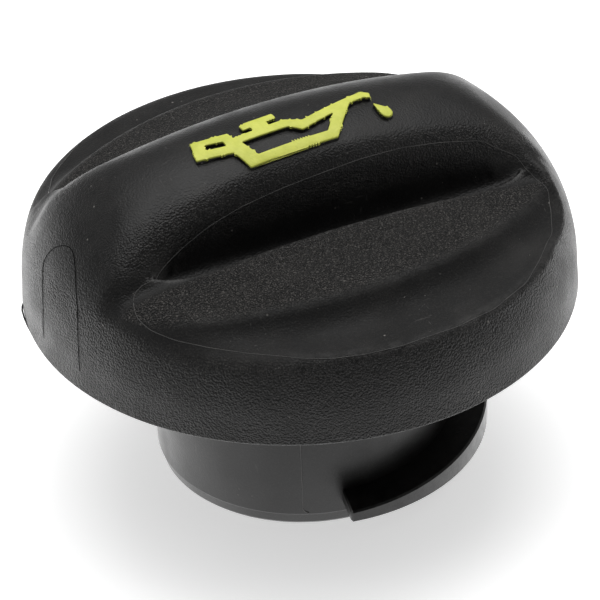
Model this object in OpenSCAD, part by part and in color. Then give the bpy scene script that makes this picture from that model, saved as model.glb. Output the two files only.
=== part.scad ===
// Bayonet oil filler cap: a grained grip head with a raised oil-can symbol, a smooth neck
// with two ramped lugs, and a rubber ring between them.
// Millimetres. Z is the cap's axis, the cap stands on the neck's lower rim at z = 0,
// and +X runs along the grip bar. The front scoop faces -Y and the back one is its half turn.

/* [Head] */
// Diameter of the head at its lower edge
head_d = 67; // [60:0.5:76]
// Height of the drafted band at the lower edge
skirt_h = 3.2; // [2:0.1:4]
// How far the drafted band widens on its way down
skirt_draft = 0.2; // [0.1:0.05:0.5]
// How much smaller the arc round the head's corner is than the bar's height
corner_drop = 5.2; // [4.6:0.1:6.4]
// How much larger the flatter arc above it is
shoulder_more = 12; // [8:0.5:16]
// Height of the scoop floor above the lower edge
floor_h = 10.8; // [10:0.1:12]
// Rounding where the scoop floor meets the rim
rim_r = 1.5; // [0.8:0.1:2.5]
// Wall of the moulding
wall = 2.6; // [2:0.1:3]

/* [Grip bar] */
// Height of the bar's middle above the lower edge
bar_h = 23.6; // [22.5:0.1:25]
// Arc of the bar's top along its length
bar_arch_r = 100; // [80:1:140]
// Arc of the bar's top across its width
bar_cross_r = 13.2; // [12.5:0.1:14]
// Half width of the cored-out space inside the bar
core_r = 6.2; // [5:0.1:7]
// Half length of the cored-out space inside the bar
core_l = 21; // [16:0.5:24]
// Thickness of the webs across the cored-out space
web_t = 1.6; // [1.2:0.1:2.4]

/* [Finger scoops] */
// Distance of the black groove's bottom from the bar's centre line
groove_y = 11.4; // [11:0.1:12.4]
// Height of the groove's bottom arc centre
groove_z = 14.2; // [13.6:0.1:15]
// Radius of the groove's bottom
groove_r = 1.7; // [1.2:0.1:2.2]
// Lean of the groove's bar side from upright
groove_lean_in = 13; // [8:1:18]
// Lean of the groove's leaf side from upright
groove_lean_out = 30; // [20:1:40]
// Arc that the groove follows along the bar
groove_arc_r = 250; // [180:5:320]
// Tilt of that arc away from the bar
groove_tilt = 45; // [35:1:55]
// Distance of the leaf's inner edge from the centre line
leaf_y = 14; // [13:0.1:15]
// Height of the leaf's inner edge
leaf_z = 15.4; // [14.8:0.1:16]
// Slope of the leaf away from the bar
leaf_tilt = 12; // [8:1:16]
// Arc of the leaf's top along its length
leaf_arch_r = 160; // [130:5:200]
// Distance of the leaf's outer ridge from the centre line
ridge_y = 22; // [21:0.1:23]
// Arc of the leaf's outer ridge seen from above
ridge_r = 41.2; // [38:0.2:46]
// Hollow arc that steps down from the ridge to the floor
step_r = 10; // [8:0.2:12]
// Height of that step at the ridge
step_h = 3.4; // [2.6:0.1:4]

/* [Symbol] */
// Height of the raised symbol above the bar
relief_h = 0.45; // [0.3:0.05:1]
// Thickness of the coloured film on the symbol
film_t = 0.12; // [0.08:0.02:0.2]
// Length of the can from its handle to its spout
symbol_l = 23.65; // [21:0.05:26]

/* [Neck] */
// Outer diameter of the neck
neck_d = 36.8; // [35:0.2:39]
// How far the neck reaches below the head's lower edge
neck_drop = 23.5; // [21:0.5:27]
// Wall of the neck
neck_wall = 2.4; // [2:0.1:3]
// How far the slope at the neck's lower rim leans in
lead_in = 0.5; // [0.3:0.1:1]
// Height of that slope
lead_h = 1.9; // [1:0.1:2.6]
// Thickness of the flange that closes the neck
flange_t = 2.6; // [2:0.1:3]
// Diameter of that flange
flange_d = 52; // [50:0.5:54]

/* [Bayonet lugs] */
// How far a lug stands out from the neck
lug_out = 4.2; // [3:0.1:4.6]
// Height of a lug's lower face above the neck's rim
lug_z = 3.2; // [2.4:0.1:4]
// Height of a lug's wall at its thin end
lug_thin = 1.75; // [1.4:0.05:2.2]
// Height of a lug's wall at its thick end
lug_thick = 3.9; // [3:0.1:4.4]
// Angle at which the long lug's thin end lies
lug_start = -102; // [-110:1:-95]
// Arc of the long lug
lug_long = 86; // [80:1:90]
// Arc of the short lug, which lies opposite
lug_short = 58; // [50:1:64]
// Rise of the neck's inner cross webs from the flange
cross_h = 8; // [6:0.5:12]

/* [Seal] */
// Radial width of the sealing ring
seal_w = 5.2; // [4.5:0.1:5.8]
// Thickness of the sealing ring
seal_t = 3; // [2.4:0.1:3.4]

/* [Hidden] */
$fn = 180;
eps = 0.01;
head_r = head_d / 2;
neck_r = neck_d / 2;
flange_r = flange_d / 2;
dome_r = head_r - skirt_draft;
// The head's corner arc follows the bar's height, so the bar always stays inside the head's outline
corner_r = bar_h - corner_drop;
dome_x = dome_r - corner_r;
far = 3 * head_r;
// The rounding between the scoop floor and the rim ends in a faint edge on the head's corner arc
rim_edge = 0.12;
rim_dz = floor_h - rim_r - skirt_h;
rim_x = dome_x + sqrt(pow(corner_r - rim_r, 2) - rim_dz * rim_dz) + rim_edge;
// Where the second, flatter arc of the head's section takes over
shoulder_a = 45;
shoulder_r = corner_r + shoulder_more;
shoulder_x = dome_x + (corner_r - shoulder_r) * cos(shoulder_a);
shoulder_z = skirt_h + (corner_r - shoulder_r) * sin(shoulder_a);
// Revolved bodies start their turn off the bar's line, clear of the edges that cross it
seam_a = 70;
// The hollow step runs out just under the floor, so the two meet in a clean line
step_dip = 0.06;
// The groove's sides start just inside its round bottom, so they meet it in clean lines
side_r = groove_r - 0.04;
roof_z = floor_h - wall;
flange_z = roof_z - flange_t;
seat_z = flange_z - seal_t;
fit_gap = 0.1;
guide_t = 2;
guide_r = flange_r + fit_gap;
bead = 0.7;
bead_h = 1.2;
// Outline of the can's body, drawn as it is seen from above with its front edge down
CAN_BODY = [
    [-14.0, -3.1], [-13.4, 0], [-8.9, -0.7], [-8.7, -1.8], [-2.1, -1.5], [-0.1, -2.4],
    [8.7, 0.1], [9.65, -0.5], [9.3, -1.4], [8.5, -1.1], [6.5, -1.6],
    [2.8, -6.0], [-8.6, -6.35], [-9.6, -3.9]
];
// Length of the can in the units of that drawing, in which the drop is drawn too
can_span = CAN_BODY[7][0] - CAN_BODY[0][0];
key_w = 4;
key_d = 1.6;
// The arched roof is a little flatter than a half round, and the slot's upright sides reach into its curve
core_round = core_r + wall / 3;
core_top = bar_h - wall - core_round - core_l * core_l / (4 * bar_arch_r);
lug_r = neck_r + lug_out;
neck_bore_r = neck_r - neck_wall;

// Head, outer form

// Half section of the head as if nothing had been scooped out of it
module head_section() {
    polygon([[0, 0], [head_r, 0], [dome_r, skirt_h], [0, skirt_h]]);
    intersection() {
        translate([dome_x, skirt_h])
            circle(r = corner_r);
        translate([0, skirt_h - eps])
            square([far, corner_r * sin(shoulder_a) + eps]);
    }
    translate([0, skirt_h - eps])
        square([dome_x, corner_r * sin(shoulder_a)]);
    intersection() {
        translate([shoulder_x, shoulder_z])
            circle(r = shoulder_r);
        translate([shoulder_x - eps, skirt_h + corner_r * sin(shoulder_a)])
            square([far, far]);
    }
    translate([0, skirt_h])
        square([shoulder_x, shoulder_z + shoulder_r - skirt_h]);
}

// Half section of the low part: everything up to the scoop floor, with the rounded rim
module floor_section() {
    translate([0, -wall])
        square([rim_x, floor_h + wall]);
    translate([rim_x, floor_h - rim_r])
        circle(r = rim_r);
    translate([0, -wall])
        square([head_d, floor_h - rim_r + wall]);
}

// The bar's crowned body: a tube of radius r bent along the bar's length
module bar_tube(r, lift = 0) {
    translate([0, 0, bar_h + lift - bar_arch_r])
        rotate([90, 0, 0])
            rotate([0, 0, -90])
                rotate_extrude()
                    translate([bar_arch_r - bar_cross_r, 0])
                        rotate(180)
                            circle(r = r);
}

// Leaf and hollow step of one scoop, before the groove is cut
module leaf_block() {
    intersection() {
        translate([0, -leaf_y, leaf_z])
            rotate([leaf_tilt, 0, 0])
                translate([0, 0, -leaf_arch_r])
                    rotate([90, 0, 0])
                        cylinder(r = leaf_arch_r, h = far, center = true);
        translate([-head_r, -head_r, wall])
            cube([head_d, head_r - bar_cross_r / 2, far]);
        translate([0, ridge_r - ridge_y, 0]) {
            cylinder(r = ridge_r, h = far);
            rotate_extrude()
                step_section();
        }
    }
}

// Section of the hollow step outside the leaf's ridge
module step_section() {
    step_w = sqrt(step_r * step_r - pow(step_r - step_h, 2));
    difference() {
        translate([ridge_r - eps, floor_h - wall / 2])
            square([step_w + eps, step_h + wall / 2]);
        translate([ridge_r + step_w, floor_h + step_r - step_dip])
            circle(r = step_r);
    }
}

// Section of the groove: a round bottom between two leaning sides
module groove_section() {
    reach = bar_h;
    a = groove_lean_in;
    b = groove_lean_out;
    circle(r = groove_r);
    polygon([
        [side_r * cos(a), -side_r * sin(a)],
        [side_r * cos(a) + reach * sin(a), reach * cos(a) - side_r * sin(a)],
        [-side_r * cos(b) - reach * sin(b), reach * cos(b) - side_r * sin(b)],
        [-side_r * cos(b), -side_r * sin(b)]
    ]);
}

// The groove between bar and leaf, which follows an arc that leans away from the bar
module groove() {
    lift = groove_arc_r * cos(groove_tilt);
    out = groove_arc_r * sin(groove_tilt);
    translate([0, -groove_y - out, groove_z + lift])
        rotate([groove_tilt - 90, 0, 0])
            rotate_extrude()
                translate([groove_arc_r, 0])
                    rotate(90 - groove_tilt)
                        groove_section();
}

// Both scoops are alike, half a turn apart
module both_sides() {
    children();
    rotate([0, 0, 180])
        children();
}

module head_outer() {
    difference() {
        intersection() {
            rotate([0, 0, seam_a])
                rotate_extrude()
                    head_section();
            union() {
                rotate([0, 0, 180 - seam_a])
                    rotate_extrude()
                        floor_section();
                bar_tube(bar_cross_r);
                both_sides()
                    leaf_block();
            }
        }
        both_sides()
            groove();
    }
}

// Head, inside

// Space under the roof, and the cored-out bar above it
module head_hollow() {
    rotate([0, 0, seam_a])
        rotate_extrude()
            polygon([
                [0, -eps], [head_r - wall, -eps], [dome_r - wall, skirt_h],
                [rim_x + rim_r - wall, roof_z], [0, roof_z]
            ]);
    core_space();
}

// The cored-out space of the bar: a slot, open below, with an arched roof a wall under the bar's top
module core_space() {
    intersection() {
        translate([-core_l, -core_r, roof_z - wall])
            cube([2 * core_l, 2 * core_r, bar_h]);
        union() {
            bar_tube(core_round, bar_cross_r - core_round - wall);
            translate([-core_l - wall, -core_r - wall, roof_z - 2 * wall])
                cube([2 * (core_l + wall), 2 * (core_r + wall), core_top - roof_z + 2 * wall]);
        }
    }
}

// Symbol

// Outline of the oil can with its lid, knob and the openings of its handle and body
module can_outline() {
    difference() {
        union() {
            polygon(CAN_BODY);
            polygon([[-7.2, -0.1], [-2.8, 0.25], [-2.7, -0.8], [-7.1, -1.15]]);
            polygon([[-6.1, -0.9], [-4.0, -0.7], [-4.0, -2.1], [-6.1, -2.1]]);
        }
        polygon([[-12.3, -2.1], [-12.1, -1.25], [-10.0, -1.75], [-9.9, -2.6]]);
        polygon([[-8.1, -2.85], [-2.1, -2.8], [-0.7, -3.85], [3.8, -2.6], [2.0, -4.9], [-7.1, -5.15]]);
    }
}

// The drop that falls from the spout: its sides touch the round end where the arc of points starts
module drop_outline() {
    mid = [10.0, -4.15];
    tip = [9.05, -2.45];
    r = 0.75;
    sides = 18;
    aim = atan2(tip[1] - mid[1], tip[0] - mid[0]);
    first = aim + acos(r / norm(tip - mid));
    turn = 360 - 2 * (first - aim);
    polygon(concat([tip], [for (i = [0:sides]) mid + r * [
        cos(first + turn * i / sides), sin(first + turn * i / sides)
    ]]));
}

// A layer that follows the bar's crown, between two heights above it
module crown_layer(low, high) {
    difference() {
        bar_tube(bar_cross_r + high);
        bar_tube(bar_cross_r + low);
    }
}

// The children's outline raised through a layer of the crown
module on_crown(low, high) {
    intersection() {
        translate([0, 0, bar_h / 2])
            linear_extrude(bar_h)
                scale(symbol_l / can_span)
                    children();
        crown_layer(low, high);
    }
}

// Seat of the neck inside the head

module neck_guide() {
    translate([0, 0, seat_z + seal_t - bead_h])
        difference() {
            cylinder(r = guide_r + guide_t, h = roof_z - flange_z + bead_h + eps);
            translate([0, 0, -eps])
                cylinder(r = guide_r - bead, h = bead_h + 2 * eps);
            translate([0, 0, bead_h])
                cylinder(r = guide_r, h = far);
        }
}

// Four keys that stop the neck from turning in the head
module keys(gap) {
    for (i = [0:3])
        rotate([0, 0, 45 + 90 * i])
            translate([guide_r - key_d - gap, -key_w / 2 - gap, flange_z - eps])
                cube([key_d + guide_t / 2, key_w + 2 * gap, flange_t + 2 * eps]);
}

// Nodes

module grip_cap() {
    color("dimgray")
        translate([0, 0, neck_drop]) {
            difference() {
                head_outer();
                head_hollow();
            }
            neck_guide();
            intersection() {
                keys(0);
                cylinder(r = guide_r + guide_t, h = roof_z + eps);
            }
            core_webs();
            on_crown(-0.3, relief_h)
                can_outline();
            on_crown(-0.3, relief_h)
                drop_outline();
        }
}

// Webs across the bar's hollow, up into its roof
module core_webs() {
    intersection() {
        bar_tube(bar_cross_r - wall / 2);
        for (x = [-core_l / 2, 0, core_l / 2])
            translate([x - web_t / 2, -core_r - wall / 2, roof_z + wall / 4])
                cube([web_t, 2 * core_r + wall, bar_h]);
    }
}

module can_film() {
    color("gold")
        translate([0, 0, neck_drop])
            on_crown(relief_h, relief_h + film_t)
                can_outline();
}

module drop_film() {
    color("gold")
        translate([0, 0, neck_drop])
            on_crown(relief_h, relief_h + film_t)
                drop_outline();
}

// One lug: an arc of ring whose upper face climbs from its thin end to its thick end
module lug(start, arc) {
    mid_r = neck_r + lug_out / 2;
    rise = (lug_thick - lug_thin) * arc / lug_long;
    climb = atan(rise / (2 * mid_r * sin(arc / 2)));
    intersection() {
        rotate([0, 0, start])
            rotate_extrude(angle = arc)
                translate([neck_r - neck_wall / 2, lug_z])
                    square([lug_out + neck_wall / 2, 2 * lug_thick]);
        rotate([0, 0, start + arc / 2])
            translate([0, 0, lug_z + lug_thin + rise / 2])
                rotate([climb, 0, 0])
                    translate([-far, -far, -far])
                        cube([2 * far, 2 * far, far]);
    }
}

module bayonet_neck() {
    top = neck_drop + roof_z;
    color("slategray")
        difference() {
            union() {
                translate([0, 0, lead_h])
                    cylinder(r = neck_r, h = top - lead_h);
                cylinder(r1 = neck_r - lead_in, r2 = neck_r, h = lead_h);
                translate([0, 0, top - flange_t])
                    cylinder(r = flange_r, h = flange_t);
                lug(lug_start, lug_long);
                lug(lug_start + 180, lug_short);
            }
            translate([0, 0, -eps])
                difference() {
                    cylinder(r = neck_bore_r, h = top - flange_t + eps);
                    neck_cross(top);
                }
            translate([0, 0, neck_drop])
                keys(fit_gap);
        }
}

// Stiffening cross under the flange, inside the neck
module neck_cross(top) {
    for (i = [0:1])
        rotate([0, 0, 90 * i])
            translate([-neck_r, -web_t / 2, top - flange_t - cross_h])
                cube([neck_d, web_t, cross_h + flange_t]);
}

module sealing_ring() {
    color("black")
        translate([0, 0, neck_drop + seat_z])
            difference() {
                cylinder(r = neck_r + seal_w, h = seal_t);
                translate([0, 0, -eps])
                    cylinder(r = neck_r, h = seal_t + 2 * eps);
            }
}

grip_cap();
can_film();
drop_film();
bayonet_neck();
sealing_ring();
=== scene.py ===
"""Dressed model of a bayonet oil filler cap.

The pieces are a grained grip head, the raised oil-can symbol on its bar, the neck with its two ramped lugs,
and the rubber ring that sits between head and neck. Sizes are in millimetres until a mesh is made, and the
head's own height zero is the lower edge of its skirt.
"""

import logging
import math
from dataclasses import dataclass, field
from enum import Enum
from typing import Sequence

import bmesh
import bpy
import numpy as np
from mathutils import Matrix, Vector
from mathutils.geometry import delaunay_2d_cdt


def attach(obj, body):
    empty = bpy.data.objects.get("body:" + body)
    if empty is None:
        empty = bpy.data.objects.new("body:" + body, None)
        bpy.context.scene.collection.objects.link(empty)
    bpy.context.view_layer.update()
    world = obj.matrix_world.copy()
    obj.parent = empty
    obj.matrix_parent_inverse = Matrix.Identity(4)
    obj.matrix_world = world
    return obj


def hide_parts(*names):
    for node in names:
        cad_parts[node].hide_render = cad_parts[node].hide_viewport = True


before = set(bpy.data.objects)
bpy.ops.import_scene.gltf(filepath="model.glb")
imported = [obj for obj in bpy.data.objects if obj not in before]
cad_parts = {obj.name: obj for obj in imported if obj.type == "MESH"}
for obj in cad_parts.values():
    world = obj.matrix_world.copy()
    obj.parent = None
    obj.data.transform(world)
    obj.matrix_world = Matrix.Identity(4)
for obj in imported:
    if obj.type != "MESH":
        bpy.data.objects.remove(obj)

LOG = logging.getLogger("filler_cap")
MM = 0.001
NECK_DROP = 23.5
Pair = tuple[float, float]
Triple = tuple[float, float, float]
Inputs = dict[str | int, object]


class Scoop(Enum):
    """The two finger scoops beside the bar."""

    FRONT = 1.0
    BACK = -1.0


class Turn(Enum):
    """Which way a lug's upper face climbs, seen from above."""

    COUNTER_CLOCKWISE = 1.0
    CLOCKWISE = -1.0


# Small tools


def smooth_step(x: np.ndarray, low: float, high: float) -> np.ndarray:
    """Eases from 0 at low to 1 at high.

    Args:
        x: Values to ease.
        low: Value that gives 0.
        high: Value that gives 1.

    Returns:
        The eased values.
    """
    t = np.clip((x - low) / (high - low), 0.0, 1.0)
    return t * t * (3.0 - 2.0 * t)


def soft_max(a: np.ndarray, b: np.ndarray, k: float | np.ndarray) -> np.ndarray:
    """Joins two distance fields as an intersection with its edge rounded off.

    Args:
        a: First field.
        b: Second field.
        k: Width of the rounding in millimetres.

    Returns:
        The joined field.
    """
    h = np.maximum(k - np.abs(a - b), 0.0) / k
    return np.maximum(a, b) + h * h * k * 0.25


def soft_min(a: np.ndarray, b: np.ndarray, k: float | np.ndarray) -> np.ndarray:
    """Joins two distance fields as a union with a filled corner, as soft_max does for an intersection."""
    return -soft_max(-a, -b, k)


def circle_angles(columns: int) -> np.ndarray:
    """Angles of the points on a ring, in radians."""
    return np.arange(columns) * (2.0 * math.pi / columns)


def circle_grid(rows: Sequence[Pair], columns: int) -> np.ndarray:
    """Turns a half section, or the normals along it, about the axis.

    Args:
        rows: Radial part and height of each row.
        columns: Points on a ring.

    Returns:
        Points or normals of all rings, ring by ring.
    """
    angle = circle_angles(columns)
    r = np.array([row[0] for row in rows])[:, None]
    z = np.array([row[1] for row in rows])[:, None] + 0.0 * angle
    return np.stack([r * np.cos(angle), r * np.sin(angle), z], -1).reshape(-1, 3)


def ring_faces(count: int, columns: int, first: int = 0) -> list[list[int]]:
    """Quads between neighbouring rings, facing outwards when the section runs down the outside.

    Args:
        count: Number of rings.
        columns: Points on a ring.
        first: Index of the first ring's first point.

    Returns:
        Corner indices, four a face.
    """
    j, i = np.meshgrid(np.arange(count - 1), np.arange(columns), indexing="ij")
    beside = (i + 1) % columns
    quad = [j * columns + i, (j + 1) * columns + i, (j + 1) * columns + beside, j * columns + beside]
    return (np.stack(quad, -1).reshape(-1, 4) + first).tolist()


def cap_faces(pole: int, ring: int, columns: int, top: bool) -> list[list[int]]:
    """Triangles between a pole and its ring.

    Args:
        pole: Index of the pole.
        ring: Index of the ring's first point.
        columns: Points on the ring.
        top: Whether the pole is where the section starts, and not where it ends.

    Returns:
        Corner indices, three a face.
    """
    near = [ring + i for i in range(columns)]
    return [[pole, a, b] if top else [a, pole, b] for a, b in zip(near, [*near[1:], near[0]])]


@dataclass(frozen=True)
class Corner:
    """A corner of a section: its place and the radius that rounds it."""

    r: float
    z: float
    radius: float = 0.0


def rounded_section(corners: Sequence[Corner], steps: int = 4) -> tuple[list[Pair], list[Pair]]:
    """Rounds the corners of an open section.

    Args:
        corners: Corners in order; the first and last are ends.
        steps: Parts of each rounding arc.

    Returns:
        The points of the section and the outward normal at each of them.
    """
    place = [Vector((c.r, c.z)) for c in corners]

    def normal(a: Vector, b: Vector) -> Vector:
        """Normal on the left of the way from a to b, which is outside when the section runs clockwise."""
        way = (b - a).normalized()
        return Vector((-way.y, way.x))

    points, normals = [place[0]], [normal(place[0], place[1])]
    for n in range(1, len(corners) - 1):
        radius, here = corners[n].radius, place[n]
        back, ahead = (place[n - 1] - here).normalized(), (place[n + 1] - here).normalized()
        before, after = normal(place[n - 1], here), normal(here, place[n + 1])
        half = back.angle(ahead) / 2.0
        start = here + back * (radius / math.tan(half))
        middle = here + (back + ahead).normalized() * (radius / math.sin(half))
        side = 1.0 if (start - middle).dot(before) > 0.0 else -1.0
        bends = [before.lerp(after, s / steps).normalized() for s in range(steps + 1)]
        points += [middle + bend * radius * side for bend in bends]
        normals += bends
    points.append(place[-1])
    normals.append(normal(place[-2], place[-1]))
    return [tuple(p) for p in points], [tuple(n) for n in normals]


class Maker:
    """Makes Blender objects from arrays given in millimetres in the head's frame."""

    @staticmethod
    def metres(points: Sequence[Triple] | np.ndarray) -> list[list[float]]:
        """Moves points from millimetres in the head's frame to metres above the floor.

        Args:
            points: Points in millimetres, head frame.

        Returns:
            The points as lists of three numbers.
        """
        return ((np.asarray(points, float) + np.array([0.0, 0.0, NECK_DROP])) * MM).tolist()

    @staticmethod
    def linked(name: str, data: bpy.types.ID) -> bpy.types.Object:
        """Makes an object from its data and links it to the scene.

        Args:
            name: Name of the object.
            data: Mesh, lamp or camera data.

        Returns:
            The object.
        """
        obj = bpy.data.objects.new(name, data)
        bpy.context.scene.collection.objects.link(obj)
        return obj

    @staticmethod
    def piece(
        name: str,
        points: np.ndarray,
        faces: Sequence[Sequence[int]],
        finish: bpy.types.Material,
        normals: np.ndarray | None = None,
        marks: dict[str, np.ndarray] | None = None,
    ) -> bpy.types.Object:
        """Makes one smooth-shaded piece.

        Args:
            name: Name of the piece.
            points: Points in millimetres, head frame.
            faces: Corner indices of each face.
            finish: Material of the piece.
            normals: Shading normal of each point, where it is known exactly.
            marks: Values kept on the points for the materials to read.

        Returns:
            The new object, linked to the scene.
        """
        mesh = bpy.data.meshes.new(name)
        mesh.from_pydata(Maker.metres(points), [], faces)
        mesh.validate()
        mesh.shade_smooth()
        for key, values in (marks or {}).items():
            layer = mesh.attributes.new(key, "FLOAT", "POINT")
            layer.data.foreach_set("value", np.asarray(values, np.float32))
        if normals is not None:
            mesh.normals_split_custom_set_from_vertices(np.asarray(normals, float).tolist())
        mesh.materials.append(finish)
        mesh.update()
        return Maker.linked(name, mesh)

    @staticmethod
    def revolved(
        name: str, corners: Sequence[Corner], columns: int, finish: bpy.types.Material
    ) -> bpy.types.Object:
        """Turns a section that starts and ends on the axis, or closes on itself, into a piece.

        Args:
            name: Name of the piece.
            corners: Section, running down the outside and back up the inside.
            columns: Points on a ring.
            finish: Material of the piece.

        Returns:
            The new object.
        """
        section, bend = rounded_section(corners)
        if corners[0].r > 0.0:
            body, bend = section[:-1], bend[:-1]
            faces = ring_faces(len(body), columns)
            last = (len(body) - 1) * columns
            around = [(i, (i + 1) % columns) for i in range(columns)]
            faces += [[last + i, i, beside, last + beside] for i, beside in around]
            return Maker.piece(name, circle_grid(body, columns), faces, finish, circle_grid(bend, columns))
        body, bend = section[1:-1], bend[1:-1]
        poles = [[0.0, 0.0, section[0][1]], [0.0, 0.0, section[-1][1]]]
        points = np.vstack([circle_grid(body, columns), poles])
        normals = np.vstack([circle_grid(bend, columns), [[0.0, 0.0, 1.0], [0.0, 0.0, -1.0]]])
        top = len(body) * columns
        faces = ring_faces(len(body), columns)
        faces += cap_faces(top, 0, columns, True) + cap_faces(top + 1, top - columns, columns, False)
        return Maker.piece(name, points, faces, finish, normals)


# Nodes


class Wiring:
    """Adds nodes to one tree and joins them."""

    def __init__(self, tree: bpy.types.NodeTree) -> None:
        """Keeps the tree that gets the nodes."""
        self.tree = tree

    def node(self, kind: str, inputs: Inputs | None = None, **settings: object) -> bpy.types.Node:
        """Adds a node.

        Args:
            kind: Type of the node.
            inputs: A value or the socket that feeds it, for each input by name or number.
            **settings: Settings of the node itself, which are made before its inputs.

        Returns:
            The node.
        """
        node = self.tree.nodes.new(kind)
        for key, value in settings.items():
            setattr(node, key, value)
        for key, value in (inputs or {}).items():
            if isinstance(value, bpy.types.NodeSocket):
                self.tree.links.new(value, node.inputs[key])
            else:
                node.inputs[key].default_value = value
        return node

    def math(self, kind: str, a: object, b: object, clamp: bool = False) -> bpy.types.NodeSocket:
        """Adds a Math node.

        Args:
            kind: Operation.
            a: First value or socket.
            b: Second value or socket.
            clamp: Whether the result is kept between 0 and 1.

        Returns:
            The result's socket.
        """
        return self.node("ShaderNodeMath", {0: a, 1: b}, operation=kind, use_clamp=clamp).outputs[0]

    def times(self, a: object, b: object, clamp: bool = False) -> bpy.types.NodeSocket:
        """Multiplies two values or sockets."""
        return self.math("MULTIPLY", a, b, clamp)

    def plus(self, a: object, b: object, clamp: bool = False) -> bpy.types.NodeSocket:
        """Adds two values or sockets."""
        return self.math("ADD", a, b, clamp)

    def ramp(self, value: object, low: float, high: float, to: Pair = (0.0, 1.0)) -> bpy.types.NodeSocket:
        """Maps a range of a value smoothly to another range.

        Args:
            value: Socket that is mapped.
            low: Value that gives the first end.
            high: Value that gives the second end.
            to: The two ends.

        Returns:
            The result's socket.
        """
        inputs = {0: value, 1: low, 2: high, 3: to[0], 4: to[1]}
        return self.node("ShaderNodeMapRange", inputs, interpolation_type="SMOOTHSTEP").outputs[0]

    def place(self) -> bpy.types.NodeSocket:
        """Object coordinates."""
        return self.node("ShaderNodeTexCoord").outputs["Object"]

    def mark(self, name: str) -> bpy.types.NodeSocket:
        """Reads a value that the piece keeps on its points.

        Args:
            name: Name of the value.

        Returns:
            The value's socket.
        """
        return self.node("ShaderNodeAttribute", attribute_name=name).outputs["Fac"]

    def noise(
        self, scale: object, detail: float, rough: float = 0.5, stretch: Triple | None = None
    ) -> bpy.types.NodeSocket:
        """Adds a noise on Object coordinates.

        Args:
            scale: Cells a metre, as a number or a socket.
            detail: Octaves.
            rough: Weight of the finer octaves.
            stretch: Scale along each axis, where the pattern is drawn out.

        Returns:
            The noise's value socket.
        """
        place = self.place()
        if stretch:
            place = self.node("ShaderNodeMapping", {"Vector": place, "Scale": stretch}).outputs[0]
        inputs = {"Vector": place, "Scale": scale, "Detail": detail, "Roughness": rough}
        return self.node("ShaderNodeTexNoise", inputs).outputs[0]

    def mottle(
        self, scale: object, detail: float, rough: float, low: float, high: float, to: Pair = (0.0, 1.0)
    ) -> bpy.types.NodeSocket:
        """Adds a noise whose middle range is mapped smoothly to another range.

        Args:
            scale: Cells a metre, as a number or a socket.
            detail: Octaves.
            rough: Weight of the finer octaves.
            low: Noise value that gives the first end.
            high: Noise value that gives the second end.
            to: The two ends.

        Returns:
            The result's socket.
        """
        return self.ramp(self.noise(scale, detail, rough), low, high, to)

    def mix(self, factor: object, a: object, b: object) -> bpy.types.NodeSocket:
        """Mixes two colours.

        Args:
            factor: Share of the second colour.
            a: First colour or socket.
            b: Second colour or socket.

        Returns:
            The mixed colour's socket.
        """
        first, second = ((*c, 1.0) if isinstance(c, tuple) else c for c in (a, b))
        return self.node("ShaderNodeMix", {0: factor, 6: first, 7: second}, data_type="RGBA").outputs[2]


# Shader node groups


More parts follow.
